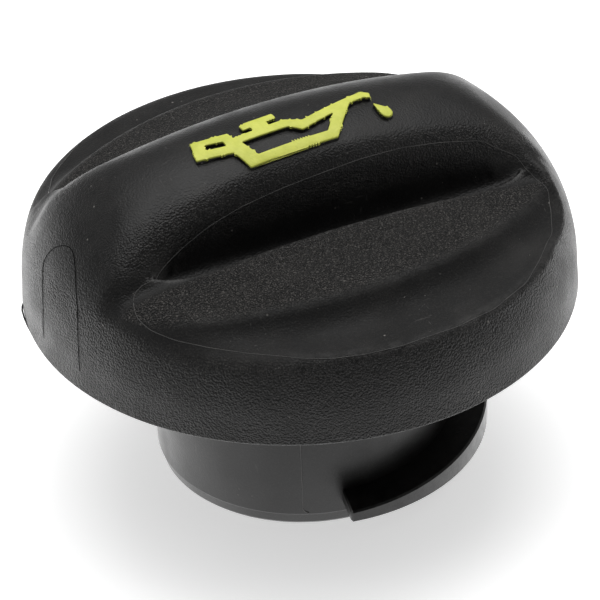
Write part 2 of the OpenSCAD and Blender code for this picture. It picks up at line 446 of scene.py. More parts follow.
class Effects:
    """Shader node groups that more than one finish uses, each built once."""

    def __init__(self) -> None:
        """Starts with no group built."""
        self._built: dict[str, bpy.types.ShaderNodeTree] = {}

    def group(self, name: str) -> bpy.types.ShaderNodeTree:
        """Gives the named group, and builds it when it is first asked for.

        Args:
            name: One of grain, dust, edge_wear, scuffs.

        Returns:
            The group's node tree.
        """
        if name not in self._built:
            self._built[name] = {
                "grain": self._grain,
                "dust": self._dust,
                "edge_wear": self._edge_wear,
                "scuffs": self._scuffs,
            }[name]()
        return self._built[name]

    @staticmethod
    def _start(name: str, inputs: dict[str, float], outputs: Sequence[str]) -> tuple[Wiring, bpy.types.Node]:
        """Starts a group with its value sockets.

        Args:
            name: Name of the group.
            inputs: Default of each input.
            outputs: Names of the outputs.

        Returns:
            The wiring of the group's tree, and its input node.
        """
        tree = bpy.data.node_groups.new(name, "ShaderNodeTree")
        for label, value in inputs.items():
            socket = tree.interface.new_socket(label, in_out="INPUT", socket_type="NodeSocketFloat")
            socket.default_value = value
        for label in outputs:
            tree.interface.new_socket(label, in_out="OUTPUT", socket_type="NodeSocketFloat")
        wiring = Wiring(tree)
        return wiring, wiring.node("NodeGroupInput")

    def _grain(self) -> bpy.types.ShaderNodeTree:
        """Spark-eroded mould grain: blunt pits and lands at one scale, with a finer tooth on top."""
        inputs = {"Cells per metre": 2600.0, "Strength": 1.0, "Tooth": 0.3}
        w, start = self._start("moulded_grain", inputs, ("Height", "Lands"))
        scale = start.outputs["Cells per metre"]
        cell_inputs = {"Vector": w.place(), "Scale": scale, "Smoothness": 0.7}
        cells = w.node("ShaderNodeTexVoronoi", cell_inputs, feature="SMOOTH_F1")
        blunt = w.ramp(cells.outputs["Distance"], 0.15, 0.75, (1.0, 0.0))
        tooth = w.noise(w.times(scale, 2.3), 3.0, 0.6)
        mixed = w.plus(blunt, w.times(tooth, start.outputs["Tooth"]))
        height = w.times(mixed, start.outputs["Strength"])
        w.node("NodeGroupOutput", {"Height": height, "Lands": w.ramp(mixed, 0.55, 1.15)})
        return w.tree

    def _dust(self) -> bpy.types.ShaderNodeTree:
        """Fine dust: a thin veil on what faces up, and separate specks."""
        w, start = self._start("settled_dust", {"Amount": 0.5, "Specks per metre": 900.0}, ("Veil", "Specks"))
        amount = start.outputs["Amount"]
        normal = w.node("ShaderNodeNewGeometry").outputs["Normal"]
        facing = w.ramp(w.node("ShaderNodeSeparateXYZ", {0: normal}).outputs["Z"], -0.1, 0.9)
        veil = w.times(w.times(facing, w.mottle(130.0, 5.0, 0.6, 0.42, 0.75)), amount)
        spot_inputs = {"Vector": w.place(), "Scale": start.outputs["Specks per metre"]}
        spots = w.node("ShaderNodeTexVoronoi", spot_inputs)
        near = w.ramp(spots.outputs["Distance"], 0.05, 0.16, (1.0, 0.0))
        rare = w.node("ShaderNodeSeparateColor", {0: spots.outputs["Color"]})
        specks = w.times(w.times(near, w.ramp(rare.outputs[0], 0.93, 0.99)), amount)
        w.node("NodeGroupOutput", {"Veil": veil, "Specks": specks})
        return w.tree

    def _edge_wear(self) -> bpy.types.ShaderNodeTree:
        """Polish on edges: the piece's own edge mark, broken up by noise."""
        w, start = self._start("edge_wear", {"Amount": 0.6, "Cells per metre": 700.0}, ("Worn",))
        broken = w.mottle(start.outputs["Cells per metre"], 4.0, 0.65, 0.35, 0.62)
        w.node("NodeGroupOutput", {"Worn": w.times(w.times(w.mark("edge"), broken), start.outputs["Amount"])})
        return w.tree

    def _scuffs(self) -> bpy.types.ShaderNodeTree:
        """Hairline scratches in three directions, in loose patches."""
        w, start = self._start("scuffs", {"Amount": 0.5}, ("Lines",))
        total = None
        stretches = ((260.0, 5200.0, 2600.0), (3900.0, 420.0, 2200.0), (1500.0, 1900.0, 300.0))
        for number, stretch in enumerate(stretches):
            rarer = 0.01 * number
            fine = w.ramp(w.noise(1.0, 1.0, 0.5, stretch), 0.70 + rarer, 0.76 + rarer)
            total = fine if total is None else w.math("MAXIMUM", total, fine)
        patch = w.mottle(90.0, 2.0, 0.5, 0.5, 0.68)
        w.node("NodeGroupOutput", {"Lines": w.times(w.times(total, patch), start.outputs["Amount"])})
        return w.tree


# Finishes


class Finish(Wiring):
    """Base of the finishes: a material with its Principled shader and the shared effects."""

    def __init__(self, name: str, effects: Effects) -> None:
        """Starts an empty node material.

        Args:
            name: Name of the material.
            effects: Shared node groups.
        """
        self.material = bpy.data.materials.new(name)
        self.material.use_nodes = True
        super().__init__(self.material.node_tree)
        self.effects = effects
        self.shader = self.tree.nodes["Principled BSDF"]

    def use(self, name: str, inputs: Inputs) -> bpy.types.Node:
        """Places a shared effect in this material.

        Args:
            name: Name of the effect.
            inputs: Values or sockets for its inputs.

        Returns:
            The group node.
        """
        return self.node("ShaderNodeGroup", inputs, node_tree=self.effects.group(name))

    def link(self, source: bpy.types.NodeSocket, name: str) -> None:
        """Feeds a socket of the Principled shader.

        Args:
            source: Socket that feeds it.
            name: Name of the socket.
        """
        self.tree.links.new(source, self.shader.inputs[name])

    def bump(self, height: bpy.types.NodeSocket, depth: float) -> None:
        """Feeds the shader's normal from a height.

        Args:
            height: Height between 0 and about 1.
            depth: What a height of 1 is, in metres.
        """
        node = self.node("ShaderNodeBump", {"Distance": depth, "Strength": 1.0, "Height": height})
        self.link(node.outputs[0], "Normal")


@dataclass(frozen=True)
class PlasticLook:
    """Values of a black moulded plastic: colours, the share of each layer, grain and roughness."""

    name: str
    dark: Triple = (0.0026, 0.0026, 0.0027)
    light: Triple = (0.0060, 0.0058, 0.0056)
    land: Triple = (0.0200, 0.0190, 0.0180)
    # Bright specks in the base colour: painted highlight that stands in for glints off the coarse grain.
    painted_glint_tone: Triple = (0.115, 0.108, 0.100)
    worn_tone: Triple = (0.085, 0.083, 0.080)
    scuff_tone: Triple = (0.16, 0.155, 0.15)
    veil_tone: Triple = (0.32, 0.30, 0.28)
    speck_tone: Triple = (0.42, 0.40, 0.37)
    rough: float = 0.42
    grain_cells: float = 4300.0
    grain_depth: float = 0.00008
    grain_tooth: float = 0.35
    plain_grain: float = 0.3
    coarse_grain: float = 1.9
    matt_rough: float = 0.28
    land_share: float = 0.35
    # Share, cell size and plain share of the painted glints.
    painted_glint: float = 0.75
    painted_glint_cells: float = 5200.0
    painted_glint_plain: float = 0.15
    worn_share: float = 0.55
    worn_polish: float = 0.14
    scuff_share: float = 0.5
    scuff_depth: float = 0.25
    veil_share: float = 0.05
    speck_share: float = 0.8
    speck_rough: float = 0.3
    dust: float = 0.5
    wear: float = 0.5
    scuffs: float = 0.5


class MouldedPlastic(Finish):
    """Black moulded plastic with mould grain, worn edges, hairlines and dust, and glints painted into its colour
    as highlights.
    """

    def __init__(self, look: PlasticLook, effects: Effects) -> None:
        """Builds the material.

        Args:
            look: Values of this plastic.
            effects: Shared node groups.
        """
        super().__init__(look.name, effects)
        coarse = self.plus(self.times(self.mark("grain"), look.coarse_grain), look.plain_grain)
        grain_inputs = {"Cells per metre": look.grain_cells, "Tooth": look.grain_tooth, "Strength": coarse}
        grain = self.use("grain", grain_inputs).outputs
        dust = self.use("dust", {"Amount": look.dust}).outputs
        worn = self.use("edge_wear", {"Amount": look.wear}).outputs["Worn"]
        lines = self.use("scuffs", {"Amount": look.scuffs}).outputs["Lines"]
        # Painted glints: bright specks in the base colour stand in for highlights off the coarse grain, most of
        # them on the leaf.
        painted_glint = self.mottle(look.painted_glint_cells, 2.0, 0.6, 0.50, 0.72)
        painted_glint = self.times(painted_glint, self.plus(self.mark("grain"), look.painted_glint_plain), clamp=True)

        colour = self.mix(self.mottle(420.0, 6.0, 0.62, 0.32, 0.72), look.dark, look.light)
        layers = (
            (self.times(grain["Lands"], self.times(coarse, look.land_share)), look.land),
            (self.times(painted_glint, look.painted_glint), look.painted_glint_tone),
            (self.times(worn, look.worn_share), look.worn_tone),
            (self.times(lines, look.scuff_share), look.scuff_tone),
            (self.times(dust["Veil"], look.veil_share), look.veil_tone),
            (self.times(dust["Specks"], look.speck_share), look.speck_tone),
        )
        for share, tone in layers:
            colour = self.mix(share, colour, tone)
        self.link(colour, "Base Color")

        rough = self.mottle(210.0, 4.0, 0.6, 0.3, 0.7, (look.rough - 0.05, look.rough + 0.06))
        rough = self.plus(rough, self.times(self.mark("matt"), look.matt_rough))
        rough = self.math("SUBTRACT", rough, self.times(worn, look.worn_polish))
        rough = self.plus(rough, self.times(dust["Specks"], look.speck_rough), clamp=True)
        self.link(rough, "Roughness")
        height = self.math("SUBTRACT", grain["Height"], self.times(lines, look.scuff_depth))
        self.bump(height, look.grain_depth)


class MouldGap(Finish):
    """A hairline gap between mould parts, drawn as a dull dark line that stays dark under any light: painted
    shade of the gap.
    """

    def __init__(self, effects: Effects) -> None:
        """Builds the material.

        Args:
            effects: Shared node groups.
        """
        super().__init__("mould_gap_painted_shade", effects)
        # Near-black colour: painted shade of the gap.
        tone = self.mottle(700.0, 3.0, 0.5, 0.35, 0.65)
        self.link(self.mix(tone, (0.0008, 0.0008, 0.0008), (0.0035, 0.0034, 0.0033)), "Base Color")
        self.link(self.ramp(tone, 0.0, 1.0, (0.6, 0.8)), "Roughness")
        self.shader.inputs["Specular IOR Level"].default_value = 0.12


class SymbolFilm(Finish):
    """Yellow-green film on the raised symbol: a satin print, darker over its sides and rounded edge."""

    def __init__(self, effects: Effects) -> None:
        """Builds the material.

        Args:
            effects: Shared node groups.
        """
        super().__init__("symbol_film_satin", effects)
        colour = self.mix(self.mottle(500.0, 4.0, 0.6, 0.3, 0.7), (0.56, 0.60, 0.085), (0.66, 0.69, 0.12))
        # Darker over the film's sides and rounding, where the edge mark is set.
        colour = self.mix(self.times(self.mark("edge"), 0.45), colour, (0.30, 0.33, 0.03))
        worn = self.mottle(1800.0, 3.0, 0.7, 0.69, 0.75)
        self.link(self.mix(self.times(worn, 0.35), colour, (0.20, 0.22, 0.03)), "Base Color")
        self.link(self.mottle(900.0, 3.0, 0.5, 0.3, 0.7, (0.42, 0.56)), "Roughness")
        grain = self.use("grain", {"Cells per metre": 3000.0, "Strength": 0.6, "Tooth": 0.4})
        self.bump(grain.outputs["Height"], 0.00002)


class SealRubber(Finish):
    """Matt black rubber with a faint bloom."""

    def __init__(self, effects: Effects) -> None:
        """Builds the material.

        Args:
            effects: Shared node groups.
        """
        super().__init__("seal_rubber_matt", effects)
        veil = self.use("dust", {"Amount": 0.6}).outputs["Veil"]
        bloom = self.mottle(300.0, 5.0, 0.6, 0.4, 0.7)
        colour = self.mix(bloom, (0.010, 0.010, 0.010), (0.020, 0.019, 0.018))
        self.link(self.mix(self.times(veil, 0.06), colour, (0.30, 0.29, 0.27)), "Base Color")
        self.link(self.mottle(500.0, 3.0, 0.5, 0.3, 0.7, (0.68, 0.82)), "Roughness")
        grain = self.use("grain", {"Cells per metre": 4200.0, "Strength": 0.5, "Tooth": 0.6})
        self.bump(grain.outputs["Height"], 0.00002)


class Lint(Finish):
    """Pale fibres and motes that lie on the plastic."""

    def __init__(self, effects: Effects) -> None:
        """Builds the material.

        Args:
            effects: Shared node groups.
        """
        super().__init__("pale_lint", effects)
        tone = self.mottle(1200.0, 2.0, 0.5, 0.3, 0.7)
        self.link(self.mix(tone, (0.20, 0.19, 0.18), (0.42, 0.40, 0.38)), "Base Color")
        self.link(self.ramp(tone, 0.0, 1.0, (0.75, 0.9)), "Roughness")


# Head


@dataclass(frozen=True)
class HeadForm:
    """Sizes of the head, and its outer surface as a distance field."""

    head_r: float = 33.5
    dome_r: float = 33.3
    skirt_h: float = 3.2
    corner_r: float = 18.4
    shoulder_extra: float = 12.0
    floor_h: float = 10.8
    rim_soft: float = 0.8
    rim_worn: float = 1.6
    end_soft: float = 1.1
    crease_soft: float = 1.8
    wall: float = 2.6
    bar_h: float = 23.6
    bar_arch_r: float = 100.0
    bar_cross_r: float = 13.2
    groove_y: float = 10.0
    groove_z: float = 12.9
    groove_r: float = 1.7
    groove_lean_in: float = 4.0
    groove_lean_out: float = 20.0
    groove_left: float = -27.0
    groove_right: float = 28.0
    groove_fade: float = 8.0
    groove_arc_r: float = 250.0
    groove_tilt: float = 45.0
    leaf_y: float = 14.0
    leaf_z: float = 14.95
    leaf_tilt: float = 6.5
    leaf_arch_r: float = 160.0
    ridge_x: float = -2.0
    ridge_y: float = 23.2
    ridge_r: float = 42.3
    ridge_z: float = 14.2
    step_slope: float = 54.0
    step_fill: float = 1.7
    end_left: Triple = (-21.2, -14.6, 6.6)
    end_right: Triple = (19.8, -15.4, 7.0)
    end_reach: float = 1.8
    end_side: float = 10.5
    pad_blend: float = 0.6
    bar_blend: float = 0.9
    crease_least: float = 0.5
    fade_slope: float = 0.6
    end_blend: float = 1.4
    end_wall_blend: float = 2.0
    end_side_blend: float = 3.0
    crease_band: Pair = (0.5, 2.5)
    worn_back: Pair = (-5.0, 5.0)
    worn_left: Pair = (8.0, 24.0)
    end_height: Pair = (11.5, 15.5)
    ridge_band: Pair = (-0.2, 1.0)
    groove_band: Pair = (0.1, 0.6)
    bar_band: Pair = (0.3, 1.2)
    flank_side: Pair = (5.5, 8.5)
    flank_skin: Pair = (-0.4, 0.1)
    flank_height: Pair = (14.5, 17.5)
    flank_grain: float = 0.35
    skirt_top: float = 11.6
    skirt_edge: Pair = (31.0, 32.2)
    skirt_grain: float = 0.30
    leaf_clear: float = 0.6
    matt_top: float = 14.6

    @property
    def dome_x(self) -> float:
        """Radius at which the corner arc's centre lies."""
        return self.dome_r - self.corner_r

    @property
    def shoulder(self) -> Triple:
        """Centre radius, centre height and radius of the flatter arc above the corner arc."""
        turn = math.sqrt(0.5) * self.shoulder_extra
        return self.dome_x - turn, self.skirt_h - turn, self.corner_r + self.shoulder_extra

    def dome_height(self, r: float) -> float:
        """Height of the unscooped head at a radius.

        Args:
            r: Radius in millimetres.

        Returns:
            The height in millimetres, head frame.
        """
        sx, sz, sr = self.shoulder
        if r - self.dome_x > self.corner_r * math.sqrt(0.5):
            return self.skirt_h + math.sqrt(max(self.corner_r**2 - (r - self.dome_x) ** 2, 0.0))
        return sz + math.sqrt(sr**2 - max(r - sx, 0.0) ** 2)

    def dome(self, p: np.ndarray) -> np.ndarray:
        """Distance to the unscooped head.

        Args:
            p: Points in millimetres, head frame.

        Returns:
            A value for each point, in millimetres and negative inside.
        """
        r, z = np.hypot(p[:, 0], p[:, 1]), p[:, 2]
        sx, sz, sr = self.shoulder
        low = np.hypot(r - self.dome_x, z - self.skirt_h) - self.corner_r
        high = np.hypot(np.maximum(r - sx, 0.0), z - sz) - sr
        return np.where(z - self.skirt_h > r - self.dome_x, high, low)

    def bar(self, p: np.ndarray) -> np.ndarray:
        """Distance to the bar's crowned body.

        Args:
            p: Points in millimetres, head frame.

        Returns:
            A value for each point, in millimetres and negative inside.
        """
        spine = self.bar_arch_r - self.bar_cross_r
        ring = np.hypot(p[:, 0], p[:, 2] - self.bar_h + self.bar_arch_r) - spine
        return np.hypot(ring, p[:, 1]) - self.bar_cross_r

    def crown(self, x: np.ndarray, y: np.ndarray) -> np.ndarray:
        """Height of the bar's top above the skirt's edge.

        Args:
            x: Places along the bar in millimetres.
            y: Places across it.

        Returns:
            The heights in millimetres.
        """
        out = self.bar_arch_r - self.bar_cross_r + np.sqrt(self.bar_cross_r**2 - y**2)
        return self.bar_h - self.bar_arch_r + np.sqrt(out**2 - x**2)

    @staticmethod
    def front(p: np.ndarray) -> np.ndarray:
        """Turns points beside the back scoop to the front one, which is alike.

        Args:
            p: Points in millimetres, head frame.

        Returns:
            The turned points.
        """
        turn = np.where(p[:, 1] > 0.0, Scoop.BACK.value, Scoop.FRONT.value)
        return np.stack([p[:, 0] * turn, p[:, 1] * turn, p[:, 2]], -1)

    def leaf(self, q: np.ndarray) -> np.ndarray:
        """Distance to the leaf's top.

        Args:
            q: Points turned to the front scoop.

        Returns:
            A value for each point, in millimetres and negative inside.
        """
        a = math.radians(self.leaf_tilt)
        y, z = q[:, 1] + self.leaf_y, q[:, 2] - self.leaf_z
        return np.hypot(q[:, 0], -y * math.sin(a) + z * math.cos(a) + self.leaf_arch_r) - self.leaf_arch_r

    def step(self, q: np.ndarray) -> np.ndarray:
        """Distance to the steep step outside the leaf's ridge.

        Args:
            q: Points turned to the front scoop.

        Returns:
            A value for each point, in millimetres and negative inside.
        """
        out = np.hypot(q[:, 0] - self.ridge_x, q[:, 1] - self.ridge_r + self.ridge_y) - self.ridge_r
        slope = math.radians(self.step_slope)
        return out * math.sin(slope) + (q[:, 2] - self.ridge_z) * math.cos(slope)

    def ends(self, q: np.ndarray) -> np.ndarray:
        """Distance to the walls that close the scoop's two round ends, negative inside the plastic.

        Args:
            q: Points turned to the front scoop.

        Returns:
            A value for each point, in millimetres and negative inside.
        """
        walls = []
        for (x, y, r), way in ((self.end_left, 1.0), (self.end_right, -1.0)):
            wall = r - np.hypot(q[:, 0] - x, q[:, 1] - y)
            walls.append(soft_max(wall, (q[:, 0] - x) * way + self.end_reach, self.end_wall_blend))
        return soft_max(np.minimum(*walls), q[:, 1] + self.end_side, self.end_side_blend)

    def groove(self, q: np.ndarray) -> np.ndarray:
        """Distance to the groove's space, negative inside it.

        Args:
            q: Points turned to the front scoop.

        Returns:
            A value for each point, in millimetres and negative inside.
        """
        tilt = math.radians(self.groove_tilt)
        c, s = math.cos(tilt), math.sin(tilt)
        y = q[:, 1] + self.groove_y + self.groove_arc_r * s
        z = q[:, 2] - self.groove_z - self.groove_arc_r * c
        axial = y * c + z * s
        radial = np.hypot(q[:, 0], y * s - z * c) - self.groove_arc_r
        u, v = radial * s + axial * c, -radial * c + axial * s
        a, b = math.radians(self.groove_lean_in), math.radians(self.groove_lean_out)
        side_in, along_in = u * math.cos(a) - v * math.sin(a), u * math.sin(a) + v * math.cos(a)
        side_out, along_out = -u * math.cos(b) - v * math.sin(b), -u * math.sin(b) + v * math.cos(b)
        inside = np.maximum(side_in, side_out)
        point = np.hypot(u, v)
        edge_in = np.where(along_in > 0.0, side_in, point)
        edge_out = np.where(along_out > 0.0, side_out, point)
        wedge = np.where(inside <= 0.0, inside, np.where(side_in > side_out, edge_in, edge_out))
        return wedge - self.groove_r

    def __call__(self, p: np.ndarray) -> np.ndarray:
        """Distance to the finished outer surface.

        Args:
            p: Points in millimetres, head frame.

        Returns:
            A value for each point, negative inside the head.
        """
        q = self.front(p)
        leaf = self.leaf(q)
        pad = soft_max(leaf, self.step(q), self.pad_blend)
        low = soft_min(pad, p[:, 2] - self.floor_h, self.step_fill)
        body = soft_min(self.bar(p), low, self.bar_blend)
        crease = self.crease_least + (self.crease_soft - self.crease_least) * smooth_step(leaf, *self.crease_band)
        past = np.maximum(self.groove_left - q[:, 0], q[:, 0] - self.groove_right)
        body = soft_max(body, -soft_max(self.groove(q), past * self.fade_slope, self.groove_fade), crease)
        body = soft_min(body, self.ends(q), self.end_blend)
        back, left = smooth_step(p[:, 1], *self.worn_back), smooth_step(-p[:, 0], *self.worn_left)
        worn = np.maximum(back, left)
        rim = self.rim_soft + self.rim_worn * worn
        soft = rim + (self.end_soft - rim) * smooth_step(p[:, 2], *self.end_height)
        return soft_max(body, self.dome(p), soft)

    def grain(self, p: np.ndarray) -> np.ndarray:
        """How coarse the mould grain is at surface points, from 0 on the polished bar to 1 on the leaf.

        Args:
            p: Points in millimetres, head frame.

        Returns:
            A value for each point.
        """
        q = self.front(p)
        leaf, step, groove = self.leaf(q), self.step(q), self.groove(q)
        bar, z, r = self.bar(p), p[:, 2], np.hypot(p[:, 0], p[:, 1])
        on_leaf = smooth_step(leaf - step, *self.ridge_band) * smooth_step(groove, *self.groove_band)
        on_leaf = on_leaf * (z > self.floor_h + self.leaf_clear) * smooth_step(bar, *self.bar_band)
        flank = smooth_step(np.abs(p[:, 1]), *self.flank_side) * smooth_step(-bar, *self.flank_skin)
        flank = flank * smooth_step(z, *self.flank_height)
        skirt = smooth_step(self.skirt_top - z, -1.0, 2.0) * smooth_step(r, *self.skirt_edge)
        return np.maximum(on_leaf, np.maximum(self.flank_grain * flank, self.skirt_grain * skirt))

    def matt(self, p: np.ndarray) -> np.ndarray:
        """How dull the scoop's floor and step are at surface points, from 0 outside to 1 inside.

        Args:
            p: Points in millimetres, head frame.

        Returns:
            A value for each point.
        """
        below = smooth_step(self.matt_top - p[:, 2], -0.2, 0.6) * smooth_step(self.bar(p), 0.1, 0.8)
        return below * smooth_step(-self.dome(p), -0.1, 0.3)


@dataclass
class Head:
    """The grip head: its outer skin, its underside and the ring that holds the neck."""

    form: HeadForm = field(default_factory=HeadForm)
    columns: int = 560
    edge_soft: float = 0.35
    roof_z: float = 8.2
    roof_r: float = 29.7
    inner_foot_r: float = 30.9
    guide_out_r: float = 28.1
    guide_in_r: float = 26.1
    bead_r: float = 25.4
    guide_foot_z: float = 4.4
    bead_top_z: float = 5.6
    pole_step: float = 0.6
    pole_end: float = 7.6
    scoop_start: float = 7.8
    scoop_step: float = 0.22
    scoop_end: float = 27.0
    corner_start: float = 27.1
    corner_step: float = 1.35
    ray_lean: float = 10.0
    ray_lean_r: float = 16.0
    approach: float = 2.5
    stride: float = 0.92
    march: int = 46
    refine: int = 4
    probe: float = 0.03
    edge_reach: float = 0.25

    def _stations(self) -> tuple[np.ndarray, np.ndarray]:
        """Radii on the unscooped head where the skin's rings start, and the slope of the rays from there.

        Returns:
            The radii, and the elevation of the rays in radians.
        """
        form = self.form
        coarse = 1.0
        inner = np.arange(self.pole_step, self.pole_end, self.pole_step * coarse)
        middle = np.arange(self.scoop_start, self.scoop_end, self.scoop_step * coarse)
        shoulder_turn = math.degrees(math.acos((self.corner_start - form.dome_x) / form.corner_r))
        turn = np.radians(np.arange(shoulder_turn, 0.0, -self.corner_step * coarse))
        r = np.concatenate([inner, middle, form.dome_x + form.corner_r * np.cos(turn), [form.dome_r]])
        sx, _, sr = form.shoulder
        natural = np.where(
            r - form.dome_x > form.corner_r * math.sqrt(0.5),
            np.arccos(np.clip((r - form.dome_x) / form.corner_r, -1, 1)),
            np.arccos(np.clip((r - sx) / sr, -1, 1)),
        )
        steep = math.radians(90.0) - math.radians(self.ray_lean) * smooth_step(r, 0.0, self.ray_lean_r)
        share = smooth_step(r, self.scoop_end, form.dome_r)
        return r, steep * (1.0 - share) + natural * share

    def _skin(self, columns: int) -> tuple[np.ndarray, np.ndarray]:
        """Finds the outer surface along rays that start outside the head.

        Args:
            columns: Points on a ring.

        Returns:
            The points, ring by ring from the middle out, and the unit normal at each.
        """
        r, slope = self._stations()
        height = np.array([self.form.dome_height(v) for v in r])
        rr, aa = np.meshgrid(r, circle_angles(columns), indexing="ij")
        ee, zz = np.broadcast_to(slope[:, None], rr.shape), np.broadcast_to(height[:, None], rr.shape)
        heading = np.stack([-np.cos(ee) * np.cos(aa), -np.cos(ee) * np.sin(aa), -np.sin(ee)], -1)
        heading = heading.reshape(-1, 3)
        start = np.stack([rr * np.cos(aa), rr * np.sin(aa), zz], -1).reshape(-1, 3) - heading * self.approach
        start = np.vstack([[[0.0, 0.0, self.form.dome_height(0.0) + self.approach]], start])
        heading = np.vstack([[[0.0, 0.0, -1.0]], heading])
        gone = np.zeros(len(start))
        for _ in range(self.march):
            gone += self.stride * self.form(start + heading * gone[:, None])
        for _ in range(self.refine):
            here = self.form(start + heading * gone[:, None])
            ahead = self.form(start + heading * (gone + 0.01)[:, None])
            gone -= np.clip(here * 0.01 / np.minimum(ahead - here, -1e-4), -0.1, 0.1)
        points = start + heading * gone[:, None]
        return points, self._normals(points)

    def _normals(self, points: np.ndarray) -> np.ndarray:
        """Unit normals of the field at points.

        Args:
            points: Points in millimetres, head frame.

        Returns:
            The normals.
        """
        bend = np.zeros_like(points)
        for axis in range(3):
            shift = np.zeros(3)
            shift[axis] = self.probe
            bend[:, axis] = self.form(points + shift) - self.form(points - shift)
        return bend / np.linalg.norm(bend, axis=1, keepdims=True)

    def _edge(self, points: np.ndarray) -> np.ndarray:
        """How sharply the surface turns outwards, from 0 on plain surfaces to 1 on edges.

        Args:
            points: Points on the surface.

        Returns:
            A value for each point.
        """
        total = -6.0 * self.form(points)
        for axis in range(3):
            shift = np.zeros(3)
            shift[axis] = self.edge_reach
            total += self.form(points + shift) + self.form(points - shift)
        return np.clip((total / self.edge_reach**2 - 0.25) / 1.1, 0.0, 1.0)

    def settle(self, path: Sequence[Triple], spacing: float = 0.4) -> np.ndarray:
        """Sets points evenly along a path and moves them onto the head's surface.

        Args:
            path: Points near the surface in millimetres, head frame.
            spacing: Distance between the points.

        Returns:
            The points on the surface.
        """
        knots = np.array(path, float)
        run = np.concatenate([[0.0], np.cumsum(np.linalg.norm(np.diff(knots, axis=0), axis=1))])
        at = np.linspace(0.0, run[-1], max(4, round(run[-1] / spacing)))
        points = np.stack([np.interp(at, run, knots[:, axis]) for axis in range(3)], -1)
        for _ in range(3):
            points[1:-1] = (points[:-2] + points[2:]) * 0.25 + points[1:-1] * 0.5
        for _ in range(12):
            points = points - self.form(points)[:, None] * self._normals(points)
        return points

    def _underside(self) -> tuple[list[Pair], list[Pair]]:
        """Section from the skirt's lower edge over the inside to the roof's middle."""
        form = self.form
        return rounded_section(
            [
                Corner(form.dome_r, form.skirt_h),
                Corner(form.head_r, 0.0, self.edge_soft),
                Corner(self.inner_foot_r, 0.0, 0.25),
                Corner(form.dome_r - form.wall, form.skirt_h, 0.0),
                Corner(self.roof_r, self.roof_z, 0.8),
                Corner(self.guide_out_r, self.roof_z, 0.4),
                Corner(self.guide_out_r, self.guide_foot_z, 0.3),
                Corner(self.bead_r, self.guide_foot_z, 0.3),
                Corner(self.bead_r, self.bead_top_z, 0.1),
                Corner(self.guide_in_r, self.bead_top_z, 0.1),
                Corner(self.guide_in_r, self.roof_z, 0.2),
                Corner(0.0, self.roof_z),
            ],
            steps=3,
        )

    def build(self, finish: bpy.types.Material) -> bpy.types.Object:
        """Makes the head as one closed shell.

        Args:
            finish: Material of the head.

        Returns:
            The new object.
        """
        columns = self.columns
        points, normals = self._skin(columns)
        section, bend = self._underside()
        lower, lower_normals = circle_grid(section[1:-1], columns), circle_grid(bend[1:-1], columns)
        pole = len(points) + len(lower)
        faces = ring_faces((pole - 1) // columns, columns, first=1)
        faces += cap_faces(0, 1, columns, True) + cap_faces(pole, pole - columns, columns, False)
        every = np.vstack([points, lower, [[0.0, 0.0, self.roof_z]]])
        bends = np.vstack([normals, lower_normals, [[0.0, 0.0, -1.0]]])
        rest = np.zeros(len(lower) + 1)
        skirt = np.where(every[len(points):, 2] < self.form.skirt_h, 0.45, 0.1)
        marks = {
            "edge": np.concatenate([self._edge(points), rest]),
            "grain": np.concatenate([self.form.grain(points), skirt]),
            "matt": np.concatenate([self.form.matt(points), rest]),
        }
        return Maker.piece("head_shell", every, faces, finish, bends, marks)


# Mould marks


